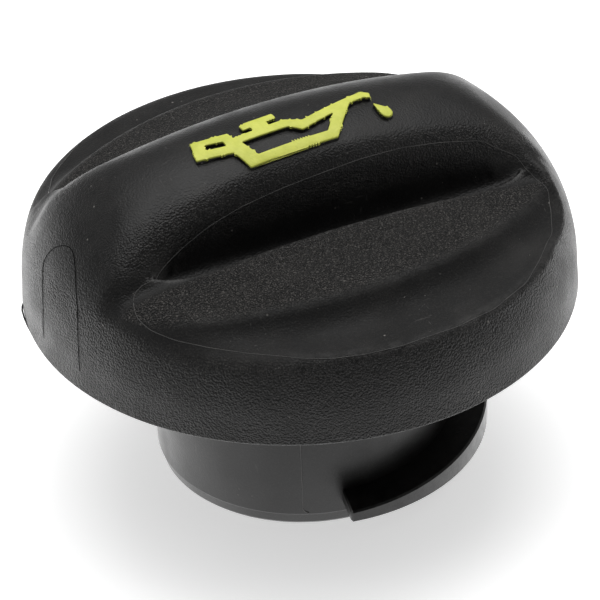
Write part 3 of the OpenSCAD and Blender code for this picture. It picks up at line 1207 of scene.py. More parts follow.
@dataclass(frozen=True)
class MouldMarks:
    """Where the mould has left lines: points near the head's surface, and angles and heights on the neck.

    The flash is given by the angle in degrees, the radius and the height of its points.
    """

    insert: tuple[Triple, ...] = (
        (-33.45, -0.3, 0.7),
        (-33.29, -0.17, 3.9),
        (-33.0, 0.0, 6.5),
        (-32.5, 1.0, 8.5),
        (-32.0, 2.0, 9.8),
        (-31.5, 2.9, 10.9),
        (-31.0, 2.8, 11.9),
        (-30.4, 2.2, 12.9),
        (-30.0, 1.4, 13.65),
        (-29.5, 0.0, 14.35),
        (-29.3, -1.3, 14.6),
        (-29.6, -2.56, 14.1),
        (-30.2, -4.2, 12.9),
        (-30.8, -5.3, 11.7),
        (-31.2, -6.7, 10.1),
        (-31.8, -7.6, 7.9),
        (-32.1, -8.2, 5.6),
        (-32.4, -8.5, 0.7),
    )
    outline: tuple[Triple, ...] = (
        (-26.4, -12.0, 12.7),
        (-25.4, -10.2, 12.8),
        (-24.6, -9.4, 13.3),
        (-22.6, -9.0, 14.4),
        (-18.2, -8.6, 16.05),
        (-14.9, -8.35, 17.3),
        (-10.9, -8.1, 18.4),
        (-5.8, -7.9, 19.15),
        (-0.6, -7.8, 19.6),
        (4.7, -7.7, 19.95),
        (10.0, -7.7, 19.85),
        (15.2, -7.9, 19.15),
        (20.3, -8.15, 18.0),
        (24.4, -9.0, 14.9),
        (26.1, -13.5, 12.3),
        (25.3, -16.5, 11.4),
        (23.4, -20.0, 10.9),
        (19.1, -24.4, 10.8),
        (15.8, -27.3, 10.6),
        (10.1, -30.0, 10.5),
        (4.7, -31.2, 10.6),
        (-2.5, -31.5, 10.6),
        (-6.7, -30.9, 10.5),
        (-10.5, -29.8, 10.5),
        (-13.5, -28.2, 10.6),
        (-18.3, -24.6, 10.75),
        (-21.7, -21.7, 10.85),
        (-24.5, -18.9, 11.0),
        (-26.4, -16.2, 11.4),
        (-27.0, -14.0, 11.95),
        (-26.5, -12.2, 12.6),
    )
    line_r: float = 0.045
    flash_r: float = 0.11
    parting_r: float = 0.085
    parting_turn: float = -117.0
    parting_foot: float = -20.6
    parting_hook: float = 0.7
    gap_r: float = 0.12
    gap_turns: Triple = (169.2, 170.2, 171.2)
    gap_foot: float = -10.5
    flash: tuple[Triple, ...] = (
        (161.0, 33.35, 0.5),
        (162.0, 33.55, 0.42),
        (163.5, 33.65, 0.34),
        (166.0, 33.58, 0.26),
        (169.0, 33.46, 0.2),
        (172.0, 33.35, 0.2),
    )

    def sliver(self) -> np.ndarray:
        """Points of the sliver of flash on the skirt's left side."""
        turned = [(math.radians(turn), r, z) for turn, r, z in self.flash]
        return np.array([(r * math.cos(turn), r * math.sin(turn), z) for turn, r, z in turned])

    def other_side(self) -> list[Triple]:
        """The back scoop's outline: the front one turned by half a turn."""
        return [(-x, -y, z) for x, y, z in self.outline]


# Symbol


@dataclass
class Symbol:
    """The raised oil can and its drop: a black relief on the bar's crown with a film on top."""

    form: HeadForm = field(default_factory=HeadForm)
    foot: float = -0.3
    relief: float = 0.45
    film: float = 0.12
    corner_soft: float = 0.2
    spacing: float = 0.35
    relief_soft: float = 0.05
    film_soft: float = 0.09
    film_sink: float = 0.1
    drop_middle: Pair = (10.0, -4.15)
    drop_tip: Pair = (9.05, -2.45)
    drop_r: float = 0.75
    can: tuple[tuple[Pair, ...], ...] = (
        (
            (-14.0, -3.1), (-13.4, 0.0), (-8.9, -0.7), (-8.7, -1.8), (-2.1, -1.5), (-0.1, -2.4), (8.7, 0.1),
            (9.65, -0.5), (9.3, -1.4), (8.5, -1.1), (6.5, -1.6), (2.8, -6.0), (-8.6, -6.35), (-9.6, -3.9),
        ),
        ((-7.2, -0.1), (-2.8, 0.25), (-2.7, -0.8), (-7.1, -1.15)),
        ((-6.1, -0.9), (-4.0, -0.7), (-4.0, -2.1), (-6.1, -2.1)),
    )
    can_holes: tuple[tuple[Pair, ...], ...] = (
        ((-12.3, -2.1), (-12.1, -1.25), (-10.0, -1.75), (-9.9, -2.6)),
        ((-8.1, -2.85), (-2.1, -2.8), (-0.7, -3.85), (3.8, -2.6), (2.0, -4.9), (-7.1, -5.15)),
    )

    @staticmethod
    def _outline(adds: Sequence[Sequence[Pair]], cuts: Sequence[Sequence[Pair]]) -> list[list[Vector]]:
        """Joins outlines and cuts holes, and gives the loops that bound the result.

        Args:
            adds: Outlines that are joined.
            cuts: Outlines that are cut out.

        Returns:
            Loops with the shape on the left of their way.
        """
        verts: list[Vector] = []
        faces: list[list[int]] = []
        for outline in (*adds, *cuts):
            area = sum(a[0] * b[1] - b[0] * a[1] for a, b in zip(outline, (*outline[1:], outline[0])))
            ordered = list(outline) if area > 0 else list(outline)[::-1]
            faces.append(list(range(len(verts), len(verts) + len(ordered))))
            verts += [Vector(p) for p in ordered]
        out = delaunay_2d_cdt(verts, [], faces, 0, 1e-6)
        kept = [face for face, parts in zip(out[2], out[5]) if parts and max(parts) < len(adds)]
        sides = {(f[n], f[(n + 1) % len(f)]) for f in kept for n in range(len(f))}
        ahead = {a: b for a, b in sides if (b, a) not in sides}
        loops: list[list[Vector]] = []
        while ahead:
            first, at = next(iter(ahead.items()))
            del ahead[first]
            loop = [first]
            while at != first:
                loop.append(at)
                at = ahead.pop(at)
            loops.append([out[0][i].copy() for i in loop])
        return loops

    def _softened(self, loop: Sequence[Vector]) -> list[Vector]:
        """Rounds a loop's corners and sets points along it at an even spacing.

        Args:
            loop: Corners in order.

        Returns:
            The points of the softened loop.
        """
        points: list[Vector] = []
        count = len(loop)
        for n in range(count):
            before, here, after = loop[n - 1], loop[n], loop[(n + 1) % count]
            back, ahead = before - here, after - here
            if back.length < 1e-5 or ahead.length < 1e-5:
                continue
            turn = math.pi - back.angle(ahead)
            if turn < 0.15:
                points.append(here)
                continue
            a = here + back.normalized() * min(self.corner_soft, back.length * 0.4)
            b = here + ahead.normalized() * min(self.corner_soft, ahead.length * 0.4)
            points += [a.lerp(here, t).lerp(here.lerp(b, t), t) for t in (0.0, 0.25, 0.5, 0.75, 1.0)]
        even: list[Vector] = []
        for a, b in zip(points, [*points[1:], points[0]]):
            parts = max(1, round((b - a).length / self.spacing))
            even += [a.lerp(b, t / parts) for t in range(parts)]
        return even

    @staticmethod
    def _inset(loop: Sequence[Vector], by: float) -> list[Vector]:
        """Moves a loop's points into the shape on its left.

        Args:
            loop: Points in order.
            by: How far they move, in millimetres.

        Returns:
            The moved points.
        """
        moved = []
        for n in range(len(loop)):
            along = (loop[(n + 1) % len(loop)] - loop[n]).normalized() + (loop[n] - loop[n - 1]).normalized()
            along = along.normalized()
            moved.append(loop[n] + Vector((-along.y, along.x)) * by)
        return moved

    def _slab(
        self,
        name: str,
        loops: Sequence[Sequence[Vector]],
        low: float,
        high: float,
        soft: float,
        finish: bpy.types.Material,
    ) -> bpy.types.Object:
        """Makes a closed slab that follows the bar's crown.

        Args:
            name: Name of the piece.
            loops: Outline loops.
            low: Height of its underside above the crown.
            high: Height of its top above the crown.
            soft: Width of the rounding along its top edge.
            finish: Material of the slab.

        Returns:
            The new object.
        """
        rises = [(0.0, low), (0.0, high - soft), (soft * 0.3, high - soft * 0.3), (soft, high)]
        flat: list[Triple] = []
        edge: list[float] = []
        faces: list[list[int]] = []
        tops: list[list[int]] = []
        for loop in loops:
            first = len(flat)
            for number, (inset, rise) in enumerate(rises):
                flat += [(p.x, p.y, rise) for p in self._inset(loop, inset)]
                edge += [0.0 if number == 3 else 1.0] * len(loop)
            count = len(loop)
            for row in range(3):
                for n in range(count):
                    a, b = first + row * count + n, first + row * count + (n + 1) % count
                    faces.append([a, b, b + count, a + count])
            tops.append(list(range(first + 3 * count, first + 4 * count)))
        top_points = [Vector(flat[i][:2]) for loop in tops for i in loop]
        index = [i for loop in tops for i in loop]
        chain: list[tuple[int, int]] = []
        start = 0
        for loop in tops:
            chain += [(start + n, start + (n + 1) % len(loop)) for n in range(len(loop))]
            start += len(loop)
        xs, ys = [p.x for p in top_points], [p.y for p in top_points]
        inner = [
            Vector((x, y))
            for x in np.arange(min(xs), max(xs), self.spacing)
            for y in np.arange(min(ys), max(ys), self.spacing)
            if min((p.x - x) ** 2 + (p.y - y) ** 2 for p in top_points) > (self.spacing * 0.6) ** 2
        ]
        out = delaunay_2d_cdt(top_points + inner, chain, [], 0, 1e-6)
        numbers: dict[int, int] = {}
        for new, old in enumerate(out[3]):
            if old and old[0] < len(top_points):
                numbers[new] = index[old[0]]
        middles = [sum((out[0][i] for i in f), Vector((0.0, 0.0))) / len(f) for f in out[2]]
        lids = [f for f, middle in zip(out[2], middles) if self._inside(middle, loops)]
        for f in lids:
            for i in f:
                if i not in numbers:
                    numbers[i] = len(flat)
                    flat.append((out[0][i].x, out[0][i].y, high))
                    edge.append(0.0)
            faces.append([numbers[i] for i in f])
        under = {numbers[i]: None for f in lids for i in f}
        boundary = {top: top - 3 * len(loop) for loop in tops for top in loop}
        for i in under:
            if i in boundary:
                under[i] = boundary[i]
            else:
                under[i] = len(flat)
                flat.append((flat[i][0], flat[i][1], low))
                edge.append(0.0)
        faces += [[under[numbers[i]] for i in reversed(f)] for f in lids]
        spots = np.array(flat)
        spots[:, 2] += self.form.crown(spots[:, 0], spots[:, 1])
        marks = {"edge": np.array(edge), "grain": np.zeros(len(edge))}
        return Maker.piece(name, spots, faces, finish, None, marks)

    @staticmethod
    def _inside(p: Vector, loops: Sequence[Sequence[Vector]]) -> bool:
        """Tells whether a point is inside the loops, holes left out.

        Args:
            p: The point.
            loops: Outline loops, holes among them.

        Returns:
            True inside.
        """
        hits = 0
        for loop in loops:
            for a, b in zip(loop, [*loop[1:], loop[0]]):
                crosses = (a.y > p.y) != (b.y > p.y)
                if crosses and p.x < a.x + (p.y - a.y) * (b.x - a.x) / (b.y - a.y):
                    hits += 1
        return hits % 2 == 1

    def _drop(self) -> list[Vector]:
        """Outline of the drop: a tip whose sides touch a round end."""
        mid, tip = Vector(self.drop_middle), Vector(self.drop_tip)
        aim = math.atan2(tip.y - mid.y, tip.x - mid.x)
        opening = math.acos(self.drop_r / (tip - mid).length)
        turn = 2.0 * (math.pi - opening)
        arc = [aim + opening + turn * n / 18 for n in range(19)]
        return [tip] + [mid + Vector((math.cos(a), math.sin(a))) * self.drop_r for a in arc]

    def build(self, black: bpy.types.Material, yellow: bpy.types.Material) -> dict[str, bpy.types.Object]:
        """Makes the reliefs and their films.

        Args:
            black: Material of the relief's sides.
            yellow: Material of the film.

        Returns:
            The four pieces by name.
        """
        shapes = {
            "can": [self._softened(loop) for loop in self._outline(self.can, self.can_holes)],
            "drop": [self._softened(self._drop())],
        }
        made: dict[str, bpy.types.Object] = {}
        for name, loops in shapes.items():
            relief, film = f"{name}_relief", f"{name}_print"
            under, top = self.relief - self.film_sink, self.relief + self.film
            made[relief] = self._slab(relief, loops, self.foot, self.relief, self.relief_soft, black)
            made[film] = self._slab(film, loops, under, top, self.film_soft, yellow)
        return made


# Neck and seal


@dataclass(frozen=True)
class LugForm:
    """One lug: where it starts, how far it runs, and its two heights."""

    name: str
    start: float
    arc: float
    thin: float = 1.75
    thick: float = 3.9
    full_arc: float = 86.0
    climbs: Turn = Turn.COUNTER_CLOCKWISE


@dataclass
class Neck:
    """The bayonet neck: flange, tube, lugs, stiffening cross and mould lines."""

    neck_r: float = 18.4
    bore_r: float = 16.0
    foot_z: float = -23.5
    flange_r: float = 26.0
    flange_low: float = 5.6
    flange_top: float = 8.18
    lug_out: float = 4.2
    lug_z: float = 3.2
    cross_h: float = 8.0
    web_t: float = 1.6
    lug_root: float = 0.6
    lug_bevel: float = 0.22
    lug_steps: int = 56
    crisp: float = 28.0
    lugs: tuple[LugForm, ...] = (LugForm("lug_long", -102.0, 86.0), LugForm("lug_short", 78.0, 58.0))

    def tube(self, finish: bpy.types.Material) -> bpy.types.Object:
        """Makes the tube with its flange and the stepped lead-in at its foot.

        Args:
            finish: Material of the neck.

        Returns:
            The new object.
        """
        foot = self.foot_z
        return Maker.revolved(
            "neck_tube",
            [
                Corner(0.0, self.flange_top),
                Corner(self.flange_r, self.flange_top, 0.3),
                Corner(self.flange_r, self.flange_low, 0.3),
                Corner(self.neck_r, self.flange_low, 0.5),
                Corner(self.neck_r, foot + 2.0, 0.15),
                Corner(self.neck_r - 0.22, foot + 1.75, 0.15),
                Corner(self.neck_r - 0.45, foot + 0.5, 0.3),
                Corner(self.neck_r - 0.9, foot, 0.3),
                Corner(self.bore_r, foot, 0.35),
                Corner(self.bore_r, self.flange_low, 0.6),
                Corner(0.0, self.flange_low),
            ],
            240,
            finish,
        )

    def lug(self, form: LugForm, finish: bpy.types.Material) -> bpy.types.Object:
        """Sweeps one lug round the neck, with bevelled ends.

        Args:
            form: The lug's sizes.
            finish: Material of the neck.

        Returns:
            The new object.
        """
        rise = (form.thick - form.thin) * form.arc / form.full_arc
        mid_r = self.neck_r + self.lug_out / 2.0
        half = math.radians(form.arc) / 2.0
        slope = rise / (2.0 * mid_r * math.sin(half))
        middle = math.radians(form.start) + half
        out_r, in_r, low = self.neck_r + self.lug_out, self.neck_r - self.lug_root, self.foot_z + self.lug_z
        cut, plain = self.lug_bevel, half - 2.0 / out_r
        bevel = half - cut / out_r
        turns = [-half, -bevel, *np.linspace(-plain, plain, self.lug_steps), bevel, half]
        points: list[Triple] = []
        edge: list[float] = []
        corner = [(0.0, 1.0), (0.30, 0.70), (0.70, 0.30), (1.0, 0.0)]
        for n, turn in enumerate(turns):
            shrink = cut if n in (0, len(turns) - 1) else 0.0
            outer, foot = out_r - shrink, low + shrink
            climb = slope * math.sin(turn) * form.climbs.value
            level = low + form.thin + rise / 2.0 - shrink
            section = [(in_r, foot)]
            section += [(outer - cut * (1.0 - a), foot + cut * (1.0 - b)) for a, b in corner]
            top = level + climb * out_r
            section += [(outer - cut * (1.0 - a), top - cut * (1.0 - b)) for a, b in corner[::-1]]
            section.append((in_r, level + climb * in_r))
            at = middle + turn
            points += [(r * math.cos(at), r * math.sin(at), z) for r, z in section]
            edge += [0.0, *([1.0] * (2 * len(corner))), 0.0]
        count = 2 * len(corner) + 2
        faces: list[list[int]] = []
        for row in range(len(turns) - 1):
            for n in range(count):
                a, b = row * count + n, row * count + (n + 1) % count
                faces.append([a, b, b + count, a + count])
        faces.append(list(range(count))[::-1])
        faces.append(list(range((len(turns) - 1) * count, len(turns) * count)))
        marks = {"edge": np.array(edge), "grain": np.zeros(len(edge))}
        piece = Maker.piece(form.name, np.array(points), faces, finish, None, marks)
        self._sharpen(piece, self.crisp)
        return piece

    @staticmethod
    def _sharpen(piece: bpy.types.Object, angle: float) -> None:
        """Turns faces outwards and keeps the shading crisp across edges above an angle in degrees.

        Args:
            piece: Piece whose mesh is changed.
            angle: Smallest angle of a crisp edge.
        """
        shape = bmesh.new()
        shape.from_mesh(piece.data)
        bmesh.ops.recalc_face_normals(shape, faces=shape.faces)
        for edge in shape.edges:
            edge.smooth = len(edge.link_faces) == 2 and edge.calc_face_angle(0.0) < math.radians(angle)
        shape.to_mesh(piece.data)
        shape.free()

    def seam(self, turn: float, foot: float, hook: float) -> np.ndarray:
        """Points of an upright line on the tube.

        Args:
            turn: Angle of the line in degrees.
            foot: Height of its lower end.
            hook: How far its lower end bends aside, in millimetres.

        Returns:
            The points, from the top down.
        """
        straight = np.linspace(self.flange_low - 0.2, foot, 30)
        z = np.concatenate([straight, foot - hook * np.array([0.5, 0.8, 1.0])])
        aside = np.concatenate([np.zeros(len(straight)), hook * np.array([0.15, 0.5, 1.0])])
        angle = math.radians(turn) + aside / self.neck_r
        return np.stack([self.neck_r * np.cos(angle), self.neck_r * np.sin(angle), z], -1)

    def build(self, finish: bpy.types.Material) -> list[bpy.types.Object]:
        """Makes the neck's pieces.

        Args:
            finish: Material of the neck.

        Returns:
            The tube and the lugs.
        """
        return [self.tube(finish), *(self.lug(form, finish) for form in self.lugs)]


@dataclass
class Seal:
    """The rubber ring under the flange."""

    in_r: float = 18.42
    out_r: float = 23.6
    low: float = 2.6
    high: float = 5.58

    def build(self, finish: bpy.types.Material) -> bpy.types.Object:
        """Makes the ring with rounded edges and a shallow groove round its underside.

        Args:
            finish: Material of the ring.

        Returns:
            The new object.
        """
        middle = (self.in_r + self.out_r) / 2.0
        corners = [
            Corner(middle, self.high),
            Corner(self.out_r, self.high, 0.5),
            Corner(self.out_r, self.low, 0.7),
            Corner(middle + 0.7, self.low, 0.2),
            Corner(middle, self.low + 0.5, 0.3),
            Corner(middle - 0.7, self.low, 0.2),
            Corner(self.in_r, self.low, 0.5),
            Corner(self.in_r, self.high, 0.5),
            Corner(middle, self.high),
        ]
        return Maker.revolved("seal_ring", corners, 200, finish)


# What repeats, or follows a path or a surface


class Weave(Wiring):
    """A Geometry Nodes tree with named inputs, and the plain meshes that it leaves."""

    def __init__(self, name: str, inputs: Sequence[tuple[str, str, object]]) -> None:
        """Starts the tree.

        Args:
            name: Name of the tree.
            inputs: Name, socket type and default of each input; a material is always the last one.
        """
        super().__init__(bpy.data.node_groups.new(name, "GeometryNodeTree"))
        sockets = self.tree.interface
        sockets.new_socket("Geometry", in_out="INPUT", socket_type="NodeSocketGeometry")
        self._keys: dict[str, str] = {}
        for label, kind, value in (*inputs, ("Material", "NodeSocketMaterial", None)):
            socket = sockets.new_socket(label, in_out="INPUT", socket_type=kind)
            if value is not None:
                socket.default_value = value
            self._keys[label] = socket.identifier
        sockets.new_socket("Geometry", in_out="OUTPUT", socket_type="NodeSocketGeometry")
        self.given = self.node("NodeGroupInput").outputs

    def close(self, made: bpy.types.NodeSocket) -> None:
        """Ends the tree in Realize Instances and Set Material.

        Args:
            made: Geometry that the tree has made.
        """
        real = self.node("GeometryNodeRealizeInstances", {0: made}).outputs[0]
        inputs = {"Geometry": real, "Material": self.given["Material"]}
        dressed = self.node("GeometryNodeSetMaterial", inputs).outputs[0]
        self.node("NodeGroupOutput", {0: dressed})

    def leave(self, name: str, ground: bpy.types.Mesh, values: dict[str, object]) -> bpy.types.Object:
        """Runs the tree on a mesh and keeps its result as a plain mesh.

        Args:
            name: Name of the finished piece.
            ground: Mesh that the tree starts from.
            values: Value of each named input.

        Returns:
            The finished piece.
        """
        carrier = Maker.linked(f"{name}_carrier", ground)
        modifier = carrier.modifiers.new("weave", "NODES")
        modifier.node_group = self.tree
        for label, value in values.items():
            modifier[self._keys[label]] = value
        carrier.update_tag()
        bpy.context.view_layer.update()
        depsgraph = bpy.context.evaluated_depsgraph_get()
        mesh = bpy.data.meshes.new_from_object(carrier.evaluated_get(depsgraph), depsgraph=depsgraph)
        carrier.modifiers.remove(modifier)
        bpy.data.objects.remove(carrier)
        mesh.name = name
        return Maker.linked(name, mesh)


class BeadOnPath(Weave):
    """Thin beads along paths, for the lines that the mould leaves."""

    SIDES = 8

    def __init__(self) -> None:
        """Builds the tree: a path made a curve, and a circle swept along it."""
        inputs = (("Radius", "NodeSocketFloat", 0.0001), ("Sides", "NodeSocketInt", self.SIDES))
        super().__init__("bead_on_path", inputs)
        given = self.given
        curve = self.node("GeometryNodeMeshToCurve", {"Mesh": given["Geometry"]}).outputs[0]
        ring_inputs = {"Resolution": given["Sides"], "Radius": given["Radius"]}
        ring = self.node("GeometryNodeCurvePrimitiveCircle", ring_inputs).outputs[0]
        sweep_inputs = {"Curve": curve, "Profile Curve": ring, "Fill Caps": True}
        sweep = self.node("GeometryNodeCurveToMesh", sweep_inputs).outputs[0]
        self.close(self.node("GeometryNodeSetShadeSmooth", {"Geometry": sweep}).outputs[0])

    def lay(
        self, name: str, paths: Sequence[np.ndarray], radius: float, finish: bpy.types.Material
    ) -> bpy.types.Object:
        """Lays a bead along each path.

        Args:
            name: Name of the piece.
            paths: Points of each path in millimetres, head frame.
            radius: Radius of the bead in millimetres.
            finish: Material of the bead.

        Returns:
            The finished piece.
        """
        mesh = bpy.data.meshes.new(f"{name}_path")
        points: list[list[float]] = []
        edges: list[tuple[int, int]] = []
        for path in paths:
            first = len(points)
            points += Maker.metres(path)
            edges += [(first + n, first + n + 1) for n in range(len(path) - 1)]
        mesh.from_pydata(points, edges, [])
        return self.leave(name, mesh, {"Radius": radius * MM, "Sides": self.SIDES, "Material": finish})


class TurnedWebs(Weave):
    """The stiffening cross inside the neck: one web, turned and repeated."""

    COUNT = 4
    OVERLAP = 0.3
    LIFT = 0.05

    def __init__(self) -> None:
        """Builds the tree: a web set beside the axis, and instances turned about the axis."""
        inputs = (
            ("Length", "NodeSocketFloat", 0.016),
            ("Thickness", "NodeSocketFloat", 0.0016),
            ("Height", "NodeSocketFloat", 0.008),
            ("Middle", "NodeSocketFloat", 0.025),
            ("Count", "NodeSocketInt", self.COUNT),
        )
        super().__init__("turned_webs", inputs)
        given = self.given
        size = self._vector({"X": given["Length"], "Y": given["Thickness"], "Z": given["Height"]})
        web_inputs = {"Size": size, "Vertices X": 12, "Vertices Y": 3, "Vertices Z": 7}
        web = self.node("GeometryNodeMeshCube", web_inputs).outputs["Mesh"]
        web = self._moved(web, {"X": self.times(given["Length"], 0.5)})
        ring = self.node("GeometryNodeMeshCircle", {"Vertices": given["Count"], "Radius": 1e-6}).outputs[0]
        index = self.node("GeometryNodeInputIndex").outputs[0]
        turn = self._vector({"Z": self.times(index, 2.0 * math.pi / self.COUNT)})
        instance_inputs = {"Points": ring, "Instance": web, "Rotation": turn}
        cross = self.node("GeometryNodeInstanceOnPoints", instance_inputs).outputs[0]
        self.close(self._moved(cross, {"Z": given["Middle"]}))

    def _vector(self, parts: Inputs) -> bpy.types.NodeSocket:
        """Combines values along the axes.

        Args:
            parts: Value or socket for each axis.

        Returns:
            The vector's socket.
        """
        return self.node("ShaderNodeCombineXYZ", parts).outputs[0]

    def _moved(self, made: bpy.types.NodeSocket, way: Inputs) -> bpy.types.NodeSocket:
        """Moves a geometry along the axes.

        Args:
            made: Geometry that moves.
            way: Value or socket for the axes that it moves along.

        Returns:
            The moved geometry.
        """
        inputs = {"Geometry": made, "Translation": self._vector(way)}
        return self.node("GeometryNodeTransform", inputs).outputs[0]

    def brace(self, name: str, neck: Neck, finish: bpy.types.Material) -> bpy.types.Object:
        """Makes the cross for a neck.

        Args:
            name: Name of the piece.
            neck: Sizes of the neck.
            finish: Material of the webs.

        Returns:
            The finished piece.
        """
        middle = NECK_DROP + neck.flange_low - neck.cross_h / 2.0 + self.LIFT
        values = {
            "Length": (neck.bore_r + self.OVERLAP) * MM,
            "Thickness": neck.web_t * MM,
            "Height": (neck.cross_h + 2.0 * self.LIFT) * MM,
            "Middle": middle * MM,
            "Count": self.COUNT,
            "Material": finish,
        }
        return self.leave(name, bpy.data.meshes.new(f"{name}_seed"), values)


class SettledMotes(Weave):
    """Motes of dust, scattered over a surface from a fixed seed."""

    def __init__(self) -> None:
        """Builds the tree: points on the faces above a height, and a flattened mote on each."""
        inputs = (
            ("Density", "NodeSocketFloat", 1000.0),
            ("Size", "NodeSocketFloat", 0.0001),
            ("Seed", "NodeSocketInt", 1),
            ("Lowest", "NodeSocketFloat", 0.03),
        )
        super().__init__("settled_motes", inputs)
        given = self.given
        place = self.node("GeometryNodeInputPosition").outputs[0]
        height = self.node("ShaderNodeSeparateXYZ", {0: place}).outputs["Z"]
        compare = {"data_type": "FLOAT", "operation": "GREATER_THAN"}
        above = self.node("FunctionNodeCompare", {"A": height, "B": given["Lowest"]}, **compare).outputs[0]
        scatter_inputs = {
            "Mesh": given["Geometry"],
            "Density": given["Density"],
            "Seed": given["Seed"],
            "Selection": above,
        }
        kind = "GeometryNodeDistributePointsOnFaces"
        scatter = self.node(kind, scatter_inputs, distribute_method="RANDOM").outputs
        mote_inputs = {"Subdivisions": 1, "Radius": given["Size"]}
        mote = self.node("GeometryNodeMeshIcoSphere", mote_inputs).outputs["Mesh"]
        spread = self._draw((0.5, 0.35, 0.2), (1.5, 0.9, 0.5), 3)
        tip_and_turn = self._draw((0.0, 0.0, 0.0), (0.2, 0.2, 6.283), 5)
        spin = self.node("FunctionNodeEulerToRotation", {0: tip_and_turn})
        lie_inputs = {"Rotation": scatter["Rotation"], "Rotate By": spin.outputs[0]}
        lie = self.node("FunctionNodeRotateRotation", lie_inputs, rotation_space="LOCAL").outputs[0]
        instance_inputs = {"Points": scatter["Points"], "Instance": mote, "Scale": spread, "Rotation": lie}
        self.close(self.node("GeometryNodeInstanceOnPoints", instance_inputs).outputs[0])

    def _draw(self, low: Triple, high: Triple, seed: int) -> bpy.types.NodeSocket:
        """Draws a vector for each point between two ends.

        Args:
            low: Lowest value along each axis.
            high: Highest value along each axis.
            seed: Seed of the draw.

        Returns:
            The vector's socket.
        """
        inputs = {"Min": low, "Max": high, "Seed": seed}
        return self.node("FunctionNodeRandomValue", inputs, data_type="FLOAT_VECTOR").outputs[0]

    def scatter(
        self,
        name: str,
        ground: bpy.types.Mesh,
        finish: bpy.types.Material,
        density: float,
        size: float,
        seed: int,
    ) -> bpy.types.Object:
        """Scatters motes over a surface, above the skirt's lower part.

        Args:
            name: Name of the piece.
            ground: Mesh that the motes lie on.
            finish: Material of the motes.
            density: Motes a square metre.
            size: Usual radius of a mote in millimetres.
            seed: Seed of the scatter.

        Returns:
            The finished piece.
        """
        lowest = 4.0
        values = {
            "Density": density,
            "Size": size * MM,
            "Seed": seed,
            "Lowest": (NECK_DROP + lowest) * MM,
            "Material": finish,
        }
        return self.leave(name, ground.copy(), values)


# Studio


@dataclass(frozen=True)
class Lamp:
    """A soft rectangular lamp, placed by its direction from the object."""

    name: str
    azimuth: float
    elevation: float
    distance: float
    size: Pair
    power: float


